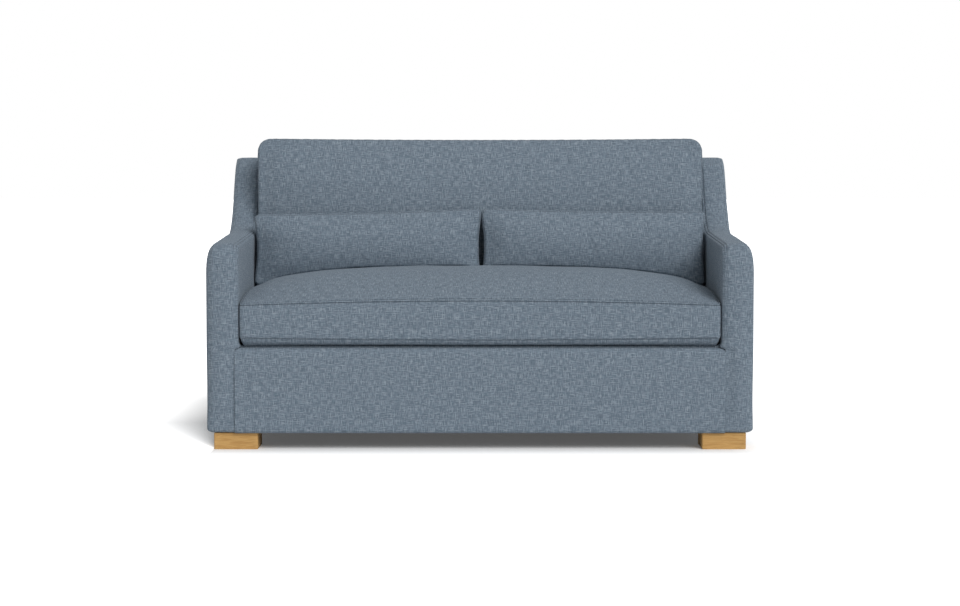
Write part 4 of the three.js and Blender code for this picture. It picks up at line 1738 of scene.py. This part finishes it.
    def seam_strength(self, loop: Array) -> Array:
        """How strongly the inner seam shows: fully on top, faintly down the front, not at the foot.

        Args:
            loop: the outline as (y, z).

        Returns:
            Strengths from 0 to the arm's pull.
        """
        low, _ = self.box()
        in_front = falling(loop[:, 0], low[1] + 5 * MM, low[1] + 40 * MM)
        below_top = falling(loop[:, 1], self.front_height - 32 * MM, self.front_height - 6 * MM)
        above_foot = smoothstep(loop[:, 1], low[2] + 12 * MM, low[2] + 70 * MM)
        return fading(self.front_seam_share, in_front * below_top) * above_foot * self.pull

    def outline(self) -> tuple[Array, int, int]:
        """The closed outline, dense at its corners, and how many rows and columns its panels have.

        Returns:
            The points as (y, z), and both numbers.
        """
        sides = self.sides()
        counts = [round((along_path(path)[-1] - 2 * NEAR_CORNER[-1]) / self.pitch) for path in sides]
        steps = [max(counts[0], counts[2]), max(counts[1], counts[3])] * 2
        parts = [dense_ends(path, NEAR_CORNER, count)[:-1] for path, count in zip(sides, steps)]
        return np.concatenate(parts), len(parts[0]) + 1, len(parts[1]) + 1

    def hidden_rear(self, y: Array) -> Array:
        """How far the cover has gone behind the back panel, from 0 to 1."""
        rear = self.box()[1][1]
        return smoothstep(y, rear - 130 * MM, rear - 70 * MM)

    def inset_shares(self, loop: Array, inner_side: Array) -> Array:
        """How much of the section's inset is left, by rows of the section and points of the outline.

        Args:
            loop: the outline as (y, z).
            inner_side: True for the rows on the inner side.

        Returns:
            Shares, rows x points.
        """
        low, high = self.box()
        y, z = loop.T
        by_band = smoothstep(y, high[1] - 175 * MM, high[1] - 125 * MM)
        inner = fading(self.rear_share, by_band) * fading(self.base_share, self.below_deck(z))
        low_corner = falling(z, low[2] + 20 * MM, low[2] + 90 * MM)
        outer = fading(self.rear_share, self.hidden_rear(y)) * fading(self.low_corner_share, low_corner)
        in_front = falling(y, low[1] + 150 * MM, low[1] + 450 * MM)
        outer *= 1 + self.shoulder_fall * (np.clip(plane_normals(loop)[:, 1], 0, 1) * in_front)
        return np.where(inner_side[:, None], inner, outer)

    def add_relief(self, shell: BoxedShell, loop: Array, seed: int) -> None:
        """The band's crown, its seams and puckers, and the lumps of the stuffing, as heights.

        Args:
            shell: the arm's shell, which takes them.
            loop: the outline as (y, z).
            seed: which wandering its lumps follow.
        """
        low, _ = self.box()
        along, x_share, _, crown = (values[1:-1, None] for values in self.section())
        off_front = smoothstep(shell.first[..., 1], low[1] + 20 * MM, low[1] + 120 * MM)
        _, *inner = np.moveaxis(shell.first, -1, 0)
        _, *outer = np.moveaxis(shell.second, -1, 0)
        shell.first_relief = 0.8 * MM * lumps(*inner, 0.2, seed) * off_front
        shell.second_relief = 1.2 * MM * lumps(*outer, 0.25, seed + 1) * off_front
        z = loop[None, :, 1]
        crown_share = 1 - 0.6 * smoothstep(z, 700 * MM, 850 * MM)
        crown_share *= smoothstep(z, low[2] + 12 * MM, low[2] + 90 * MM)
        place = along_path(loop)[None] + 0 * along
        pucker = ripple(place, 34 * MM, seed + 2) * 0.35 * MM
        bump = lumps(place, along + 0 * place, 0.12, seed + 3) * 0.5 * MM
        middle = np.clip(np.sin(math.pi * x_share), 0, 1)
        off_base = 1 - self.below_deck(z) * falling(x_share, 0.05, 0.45)
        visible = (1 - self.hidden_rear(loop[None, :, 0])) * off_base
        strength = self.seam_strength(loop)[None]
        outer_strength = self.outer_seam_strength * strength
        from_inner, from_outer = (along - seam for seam in self.seams())
        seams = DOUBLE_SEAM.height(from_inner) * strength
        seams = seams + PLAIN_SEAM.height(from_outer) * outer_strength
        shell.boxing_relief = (crown * crown_share + seams + (pucker + bump) * middle) * visible
        # How deep in the seams each vertex lies, which sets the cloth's painted shade, as faint as the
        # seams
        depth = DOUBLE_SEAM.depth(from_inner) * strength
        depth = (depth + PLAIN_SEAM.depth(from_outer) * outer_strength) * visible
        shell.seam = np.concatenate([np.zeros(2 * shell.first[..., 0].size), depth.ravel()])

    def stitches(self, shell: BoxedShell, loop: Array, points: Array, normals: Array) -> Object:
        """The topstitching along the inner seam, over the arm's top and front.

        Args:
            shell: the arm's shell.
            loop: the outline as (y, z).
            points: the finished arm's vertices.
            normals: their normals.

        Returns:
            Both rows of stitches as one object.
        """
        start = sum(shell.first.shape[:2]) - 2
        on_top = self.seam_strength(loop)[start:] > 0.75 * self.pull
        rings = [shell.ladder()[row, start:][on_top] for row in self.stitch_rows(self.section()[0])]
        rows = [Topstitch().row(points[ring], normals[ring], False) for ring in rings]
        return stitch_object(f"{self.name}_topstitch", rows)

    def build(self, finishes: Finishes) -> None:
        """Makes the arm and its topstitching.

        Args:
            finishes: the shared materials.
        """
        _, high = self.box()
        loop, rows, columns = self.outline()
        along, x_share, inset, _ = self.section()
        shares = self.inset_shares(loop, x_share < self.inner_part)
        at = loop[None] - plane_normals(loop)[None] * (inset[:, None] * shares)[..., None]
        inner_x = self.face(at[..., 0], at[..., 1])
        x = inner_x + (high[0] - inner_x) * x_share[:, None]
        x += self.swell(at[..., 0], at[..., 1]) * x_share[:, None] ** 6
        inner, outer = filled(at[0], rows, columns), filled(at[-1], rows, columns)
        outer_x = high[0] + self.swell(outer[..., 0], outer[..., 1])
        seed = 40 + 10 * self.side.value
        offset = self.cut_step * seed
        place, across = np.meshgrid(along_path(closed(loop)), along)
        shell = BoxedShell(
            np.concatenate([self.face(inner[..., 0], inner[..., 1])[..., None], inner], -1),
            np.concatenate([outer_x[..., None], outer], -1),
            np.concatenate([x[..., None], at], -1)[1:-1],
            inner + offset,
            outer + 2 * offset,
            np.stack([across - offset, place], -1),
        )
        self.add_relief(shell, loop, seed)
        mirror = self.side is Side.LEFT
        points, normals = padded_form(self.name, shell, finishes.cloth, Slot.CLOTH, mirror)
        stitches = self.stitches(shell, loop, points, normals)
        finish_piece(stitches, finishes.thread, Slot.CLOTH, Body.FRAME)


def skin(outer: Array, thickness: float, flat: Array, relief: Array) -> BoxedShell:
    """A shell of even thickness under a grid of points.

    Args:
        outer: the shown surface, rows x columns x 3, with normals along rows cross columns.
        thickness: how thick the cloth and its wadding are.
        flat: flat places of the cloth.
        relief: how far each point of the shown surface stands out.

    Returns:
        The shell, with its relief already in it.
    """
    normals = unit(np.cross(np.gradient(outer, axis=0), np.gradient(outer, axis=1)))
    shown = outer + normals * relief[..., None]
    border = 2 * sum(outer.shape[:2]) - 4
    edge = np.zeros((2, border + 1, 2))
    return BoxedShell(shown, outer - normals * thickness, np.zeros((0, border, 3)), flat, flat, edge)


def swept(profile: Array, half: float, pitch: float) -> tuple[Array, Array, Array]:
    """A profile in (y, z) swept across the settee, in finer steps near both ends.

    Args:
        profile: points of the profile.
        half: half the width.
        pitch: the step across.

    Returns:
        The grid of points, its places across from 0, and its places along the profile.
    """
    across = lines(2 * half, np.linspace(0, 12 * MM, 5), pitch)
    along = along_path(profile)
    grid = np.zeros((len(across), len(profile), 3))
    grid[..., 0] = across[:, None] - half
    grid[..., 1:] = profile[None]
    return grid, across, along


@dataclass
class FrontBorder:
    """The padded front of the base, rolled over at its top and under at its bottom.

    Near its top the face leans back by lean(1 - t)^2, with t the depth below the roll over its reach.
    Here and below, cut_at is where in the cloth a piece is cut, in metres.
    """

    name: str = "base_front_cover"
    top_radius: float = 14 * MM
    bottom_radius: float = 7 * MM
    thickness: float = 4 * MM
    crown: float = 1.5 * MM
    top_fall: float = 10 * MM
    bottom_rise: float = 2.5 * MM
    lean: float = 4 * MM
    lean_reach: float = 80 * MM
    cut_at: float = 1.3
    seed: int = 71
    fill: float = 0.9

    def build(self, finishes: Finishes) -> None:
        """Makes the border as one skin.

        Args:
            finishes: the shared materials.
        """
        low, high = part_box(self.name)
        front, rear = low[1], high[1]
        top_z, bottom_z = high[2] - self.top_fall, low[2] + self.bottom_rise
        top_centre = (front + self.lean + self.top_radius, top_z - self.top_radius)
        top = arc(top_centre, self.top_radius, 90, 180, 1.5 * MM)
        r = self.bottom_radius
        under = arc((front + r, bottom_z + r), r, 180, 270, 1.2 * MM)
        z = np.linspace(top[-1][1], under[0][1], 34)[1:-1]
        back_by = self.lean * np.clip(1 - (top[-1][1] - z) / self.lean_reach, 0, 1) ** 2
        face = np.stack([front + back_by, z], -1)
        ledge = np.linspace([rear - 9 * MM, top_z], top[0], 4)[:-1]
        back_top = np.concatenate([[[rear, high[2]], [rear - 4 * MM, (high[2] + top_z) / 2]], ledge])
        back_under = np.linspace(under[-1], [rear, bottom_z], 4)[1:]
        profile = np.concatenate([back_top, top, face, under, back_under])
        grid, across, along = swept(profile, high[0] + 1 * MM, 9 * MM)
        x, s, from_side, from_end = spread(across, along)
        puffed = self.crown * smoothstep(from_side, 0, 60 * MM)
        puffed *= smoothstep(from_end, 60 * MM, 130 * MM)
        soft = 0.7 * MM * lumps(x, s, 0.22, self.seed) * smoothstep(from_end, 45 * MM, 90 * MM)
        shell = skin(grid, self.thickness, np.stack([x + self.cut_at, s], -1), puffed + soft)
        padded_form(self.name, shell, finishes.cloth, Slot.CLOTH)


@dataclass
class InnerBack:
    """The raked inner back and the band over its top."""

    name: str = "inner_back_cover"
    edge_radius: float = 18 * MM
    tuck: float = 5 * MM
    thickness: float = 4 * MM
    cut_at: float = 2.1
    seed: int = 83
    fill: float = 0.9

    def build(self, finishes: Finishes) -> None:
        """Makes the inner back as one skin.

        Args:
            finishes: the shared materials.
        """
        low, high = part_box(self.name)
        tilt = math.degrees(LEAN.rake)
        r = self.edge_radius
        top_z = high[2] - TOP_DROP
        centre_z = top_z - r
        edge_y = low[1] + (centre_z + r * math.sin(LEAN.rake) - low[2]) * math.tan(LEAN.rake)
        centre = (edge_y + r * math.cos(LEAN.rake), centre_z)
        edge = arc(centre, r, 180 - tilt, 90, 1.5 * MM)
        face = np.linspace([low[1], low[2]], edge[0], 60)[:-1]
        band = np.linspace(edge[-1], [high[1], top_z], 14)[1:]
        profile = np.concatenate([face, edge, band])[::-1]
        grid, across, along = swept(profile, high[0] + self.tuck, 14 * MM)
        x, s, from_side, _ = spread(across, along)
        seam_at = along[len(band) + len(edge) // 2]
        seam = DOUBLE_SEAM.height(s - seam_at) - 1.2 * MM * bell(from_side, 2.2 * MM)
        soft = 0.8 * MM * lumps(x, s, 0.24, self.seed) * smoothstep(from_side, 0, 60 * MM)
        shell = skin(grid, self.thickness, np.stack([x + self.cut_at, s], -1), seam + soft)
        padded_form(self.name, shell, finishes.cloth, Slot.CLOTH)


@dataclass
class OuterBack:
    """The flat panel that closes the back, with rounded corners and edges."""

    name: str = "outer_back_cover"
    corner_radius: float = 18 * MM
    edge_radius: float = 9 * MM
    puff: float = 1.0 * MM
    pitch: float = 12 * MM
    cut_at: float = 3.1
    seed: int = 91
    fill: float = 0.95

    def build(self, finishes: Finishes) -> None:
        """Makes the panel as a flat pad.

        Args:
            finishes: the shared materials.
        """
        low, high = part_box(self.name)
        top_z = high[2] - TOP_DROP
        half_x, half_z = high[0], (top_z - low[2]) / 2
        middle_z = (top_z + low[2]) / 2
        r = self.edge_radius
        across = lines(2 * half_x, NEAR_EDGE, self.pitch) / half_x - 1
        along = lines(2 * half_z, NEAR_EDGE, self.pitch) / half_z - 1
        u, v = np.meshgrid(across, along, indexing="ij")
        row, column = perimeter(*u.shape)

        def ring(u: Array, v: Array, inset: Array | float, y: Array | float) -> Array:
            """Panel points drawn in by an inset, at a depth y.

            Args:
                u: places across, from -1 to 1.
                v: places along, from -1 to 1.
                inset: how far they are drawn in.
                y: their depth.

            Returns:
                The points.
            """
            span_x, span_z = half_x - inset, half_z - inset
            x, z = rounded_plan(u * span_x, v * span_z, span_x, span_z, self.corner_radius - inset)
            return np.stack([x, np.zeros_like(x) + y, z + middle_z], -1)

        angle = np.linspace(0, math.pi / 2, 8)[1:, None]
        inset = r * (1 - np.sin(angle)) * np.ones(len(row))
        y = high[1] - r * (1 - np.cos(angle)) * np.ones(len(row))
        boxing = ring(u[row, column][None], v[row, column][None], inset, y)
        from_edge = np.minimum((1 - np.abs(u)) * half_x, (1 - np.abs(v)) * half_z)
        soft = 0.9 * MM * lumps(u * half_x, v * half_z, 0.3, self.seed)
        soft *= smoothstep(from_edge, 0, 80 * MM)
        flat = np.stack([u * half_x + self.cut_at, v * half_z], -1)
        round_it = along_path(boxing[-1])
        round_it = np.append(round_it, round_it[-1] + 2 * MM)
        depth = np.arange(len(boxing) + 2) * 2 * MM
        edge_flat = np.stack(np.meshgrid(round_it, depth), -1)
        panels = ring(u, v, r, high[1]), ring(u, v, 0.0, low[1])
        shell = BoxedShell(*panels, boxing, flat, flat, edge_flat)
        shell.first_relief = self.puff * smoothstep(from_edge, 0, 40 * MM) - self.puff + soft
        shell.second_relief = np.zeros_like(u)
        shell.boxing_relief = np.zeros(boxing.shape[:2])
        shell.boxing_relief[:3] = -self.puff * np.array([0.9, 0.6, 0.3])[:, None]
        padded_form(self.name, shell, finishes.cloth, Slot.CLOTH)


@dataclass
class StretchedSheet:
    """A cloth pulled flat over the frame, that hollows a little between its edges."""

    name: str
    slot: Slot
    seed: int
    rests_on: tuple[str, ...] = ()
    hollow: float = 0.3
    lump: float = 0.15
    cut_at: float = 4.1

    def build(self, finish: Material) -> None:
        """Makes the sheet within its CAD node's thickness.

        Args:
            finish: its material.
        """
        low, high = node_box(self.name)
        thickness = high[2] - low[2]
        half_x = high[0]
        across = lines(2 * half_x, NEAR_HEM, 18 * MM)
        along = lines(high[1] - low[1], NEAR_HEM, 18 * MM)
        x, y, from_side, from_end = spread(across, along)
        held = smoothstep(np.minimum(from_side, from_end), 0, 0.1)
        drop = thickness * (self.hollow + self.lump * lumps(x, y, 0.16, self.seed)) * held
        shown = np.stack([x - half_x, y + low[1], high[2] - drop], -1)
        flat = np.stack([x + self.cut_at, y], -1)
        shell = skin(shown, 0.45 * thickness, flat, np.zeros_like(x))
        piece, _, _ = shell_object(f"{self.name}_sheet", shell)
        finish_piece(piece, finish, self.slot, Body.FRAME, self.name)


@dataclass
class DeckPad:
    """The foam pad between the springs and the deck cloth."""

    name: str = "deck_pad"
    edge_radius: float = 5 * MM

    def build(self, finishes: Finishes) -> None:
        """Makes the pad as a flat slab with soft edges.

        Args:
            finishes: the shared materials.
        """
        low, high = node_box(self.name)
        half_x, half_y, half_z = high[0], *(high[1:] - low[1:]) / 2
        centre_y, centre_z = (high[1:] + low[1:]) / 2
        across = lines(2 * half_x, NEAR_HEM, 30 * MM) / half_x - 1
        along = lines(2 * half_y, NEAR_HEM, 30 * MM) / half_y - 1
        u, v = np.meshgrid(across, along, indexing="ij")
        row, column = perimeter(*u.shape)

        def ring(u: Array, v: Array, w: Array) -> Array:
            """Slab points at heights w from -1 to 1, drawn in towards both faces.

            Args:
                u: places across, from -1 to 1.
                v: places along, from -1 to 1.
                w: heights, from -1 to 1.

            Returns:
                The points.
            """
            inset = self.edge_radius * w**6
            span_x, span_y = half_x - inset, half_y - inset
            x, y = rounded_plan(u * span_x, v * span_y, span_x, span_y, 10 * MM)
            return np.stack([x, y + centre_y, centre_z + half_z * w], -1)

        w = np.linspace(1, -1, 9)[1:-1, None] * np.ones(len(row))
        boxing = ring(u[row, column], v[row, column], w)
        flat = np.stack([u, v], -1)
        edge = np.zeros((len(boxing) + 2, len(row) + 1, 2))
        one = np.ones_like(u)
        shell = BoxedShell(ring(u, v, one), ring(u, v, -one), boxing, flat, flat, edge)
        padded_form(self.name, shell, finishes.wadding, Slot.FOAM)


# Dressing of the CAD nodes

NODE_FINISHES: tuple[tuple[str, Slot, tuple[str, ...]], ...] = (
    ("steel", Slot.SPRING_STEEL, ("_foot_bolt", "seat_spring", "spring_clip_strip", "spring_tie_wire")),
    ("oak", Slot.FOOT_OAK, ("_foot",)),
    ("webbing", Slot.WEBBING, ("back_webbing",)),
    ("hardwood", Slot.FRAME_WOOD, ("_rail", "_post", "_block", "stretcher")),
)


def dress_nodes(finishes: Finishes) -> None:
    """Gives every CAD node that stays shown the finish that its name asks for.

    Args:
        finishes: the shared materials.
    """
    for name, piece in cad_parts.items():
        for finish, slot, words in NODE_FINISHES:
            if any(word in name for word in words):
                dress(piece, getattr(finishes, finish))
                break


# Studio


@dataclass(frozen=True)
class Studio:
    """A white studio: a pale floor, soft light all round and one broad lamp in front.

    To the camera, the floor glows white but for two shades, where it glows by shade_lift only. These
    shades are painted: the glow's mask, not the lamp, sets where the lamp's shadow shows, and shade_lift
    lifts that shadow. One lies under the settee and to its left: it ends at the right, front and rear
    ends, and fades over shade_fade. The other clears it on the left: there the glow follows the distance
    left of the wedge's tip over the depth behind that tip, from the first of the slopes to the second.
    """

    eye: Triple = (0.0, -7.2625, 0.859)
    down: float = 3.417
    lens: float = 82.8
    ambient: float = 0.40
    sun_from: Triple = (0.30, -0.5, 0.43)
    sun_strength: float = 2.05
    sun_width: float = 38.0
    floor_colour: float = 0.93
    floor_half: float = 60.0
    shade_lift: float = 0.085
    shade_ends: Triple = (0.77, -0.50, 1.30)
    shade_fade: float = 0.30
    wedge_tip: tuple[float, float] = (-0.82, -0.45)
    wedge_depth: tuple[float, float] = (0.02, 0.70)
    wedge_slopes: tuple[float, float] = (0.125, 0.545)

    def camera(self) -> None:
        """The photograph's camera."""
        lens = bpy.data.cameras.new("camera")
        lens.lens = self.lens
        lens.sensor_width = 36.0
        lens.clip_end = 200.0
        eye = bpy.data.objects.new("camera", lens)
        eye.location = self.eye
        eye.rotation_euler = (math.radians(90 - self.down), 0, 0)
        bpy.context.scene.collection.objects.link(eye)
        bpy.context.scene.camera = eye

    def world(self) -> None:
        """White to the camera and in reflections, plain grey as light."""
        world = bpy.data.worlds.new("studio")
        world.use_nodes = True
        tree = world.node_tree
        tree.nodes.clear()
        kinds = ("LightPath", "Math", "Background", "Background", "MixShader", "OutputWorld")
        nodes = [tree.nodes.new(f"ShaderNode{kind}") for kind in kinds]
        paths, seen, light, white, choice, output = nodes
        seen.operation = "MAXIMUM"
        light.inputs["Strength"].default_value = self.ambient
        for background in (light, white):
            background.inputs["Color"].default_value = (1, 1, 1, 1)
        for source, target in (
            (paths.outputs["Is Camera Ray"], seen.inputs[0]),
            (paths.outputs["Is Glossy Ray"], seen.inputs[1]),
            (seen.outputs[0], choice.inputs[0]),
            (light.outputs[0], choice.inputs[1]),
            (white.outputs[0], choice.inputs[2]),
            (choice.outputs[0], output.inputs["Surface"]),
        ):
            tree.links.new(source, target)
        bpy.context.scene.world = world

    def sun(self) -> None:
        """One broad soft lamp from the right front, far enough off to light both ends alike."""
        light = bpy.data.lights.new("sun", "SUN")
        light.angle = math.radians(self.sun_width)
        light.energy = self.sun_strength
        lamp = bpy.data.objects.new("sun", light)
        x, y, z = self.sun_from
        lamp.rotation_euler = (math.atan2(math.hypot(x, y), z), 0, math.atan2(x, -y))
        bpy.context.scene.collection.objects.link(lamp)

    def floor(self) -> Object:
        """A wide pale floor, whose glow to the camera paints where the settee's shadow shows.

        Returns:
            The floor's object.
        """
        half = self.floor_half
        points = np.array([[-half, -half, 0], [half, -half, 0], [half, half, 0], [-half, half, 0]])
        piece = make_mesh("studio_floor", points, np.array([[0, 1, 2, 3]]))
        w = Wiring("studio_floor")
        w.feed(w.shader, {"Base Color": (self.floor_colour,) * 3, "Roughness": 1.0})
        w.feed(w.shader, {"Specular IOR Level": 0.0, "Emission Color": (1, 1, 1)})
        x, y, _ = w.parts(w.object_place())
        # Painted shadow: this mask, not the lamp, sets where the sun's shadow shows and how it fades
        right, front, rear = self.shade_ends
        to_right = w.math("SUBTRACT", x, right)
        to_end = w.math("MAXIMUM", w.math("SUBTRACT", front, y), w.math("SUBTRACT", y, rear))
        beyond = [w.math("MAXIMUM", distance, 0.0) for distance in (to_right, to_end)]
        away = w.math("SQRT", w.math("ADD", *(w.math("POWER", distance, 2.0) for distance in beyond)))
        clear = w.ranged(away, 0.0, self.shade_fade, self.shade_lift, 1.0)
        past = w.math("SUBTRACT", self.wedge_tip[0], x)
        depth = w.math("MAXIMUM", w.math("SUBTRACT", y, self.wedge_tip[1]), self.wedge_depth[0])
        slope = w.math("DIVIDE", past, w.math("MINIMUM", depth, self.wedge_depth[1]))
        wedge = w.ranged(slope, *self.wedge_slopes, self.shade_lift, 1.0)
        seen = w.node("LightPath").outputs["Is Camera Ray"]
        glow = w.math("MULTIPLY", w.math("MAXIMUM", clear, wedge), seen)
        w.feed(w.shader, {"Emission Strength": glow})
        dress(piece, w.material)
        return piece

    def build(self) -> None:
        """Sets up camera, world, lamp and floor."""
        self.camera()
        self.world()
        self.sun()
        self.floor()
        bpy.context.scene.view_settings.view_transform = "Standard"


def build_cushions(finishes: Finishes) -> None:
    """Makes the seat cushion and, on it, the back cushion and both lumbar cushions.

    Args:
        finishes: the shared materials.
    """
    seat = SeatCushion(
        name="seat_cushion",
        nodes=("seat_cushion_cover", "seat_cushion_core"),
        body=Body.SEAT,
        half_across=742.5 * MM,
        half_along=366.5 * MM,
        edge_low=27 * MM,
        edge_high=130 * MM,
        crown=48 * MM,
        under=27 * MM,
        corner_radius=10 * MM,
        across_rise=14 * MM,
        along_rise=32 * MM,
        under_round=26 * MM,
        bulge=1.5 * MM,
        boxing_give=0.3,
        upper_seam=DOUBLE_SEAM,
        seed=3,
    )
    seat.build(finishes)
    back = LeaningCushion(
        name="back_cushion",
        nodes=("back_cushion_cover", "back_cushion_core"),
        body=Body.BACK,
        half_across=743.6 * MM,
        half_along=252.4 * MM,
        edge_low=8 * MM,
        edge_high=168 * MM,
        crown=40 * MM,
        under=8 * MM,
        corner_radius=42 * MM,
        side_pull=1.0 * MM,
        flare=2 * MM,
        bulge=0.6 * MM,
        middle=380.4 * MM,
        seat=seat.top(),
        seed=11,
    )
    back.build(finishes)
    lumbars = (
        (Side.RIGHT, Body.RIGHT_LUMBAR, (6.5 * MM, 741 * MM), 9 * MM, 19),
        (Side.LEFT, Body.LEFT_LUMBAR, (-742 * MM, 2 * MM), 20 * MM, 27),
    )
    for side, body, ends, droop, seed in lumbars:
        lumbar = LeaningCushion(
            name=f"{side.word}_lumbar_cushion",
            nodes=(f"{side.word}_lumbar_cover", f"{side.word}_lumbar_core"),
            body=body,
            half_across=(ends[1] - ends[0]) / 2,
            half_along=128 * MM,
            edge_low=34 * MM,
            edge_high=78 * MM,
            crown=44 * MM,
            under=34 * MM,
            corner_radius=17 * MM,
            side_pull=7 * MM,
            flare=2 * MM,
            boxing_give=0.4,
            droop=(side.value, droop),
            middle=258 * MM,
            middle_x=(ends[0] + ends[1]) / 2,
            away=205 * MM,
            seat=seat.top(),
            behind=back.front(),
            seed=seed,
        )
        lumbar.build(finishes)


def main() -> None:
    """Builds the settee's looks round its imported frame, and the studio."""
    logging.basicConfig(level=logging.INFO, format="%(message)s")
    Studio().build()
    finishes = make_finishes()
    dress_nodes(finishes)
    # The left arm's seams are drawn half as deep, with half as much painted shade, as the light from the
    # right washes them out
    arms = (ScoopArm(Side.RIGHT), ScoopArm(Side.LEFT, pull=0.5))
    for piece in (FrontBorder(), InnerBack(), OuterBack(), *arms, DeckPad()):
        piece.build(finishes)
    StretchedSheet("deck_cover", Slot.DECKING, seed=5, rests_on=("deck_pad",)).build(finishes.decking)
    StretchedSheet("dust_cover", Slot.LINING, seed=6).build(finishes.lining)
    build_cushions(finishes)


if __name__ == "__main__":
    main()
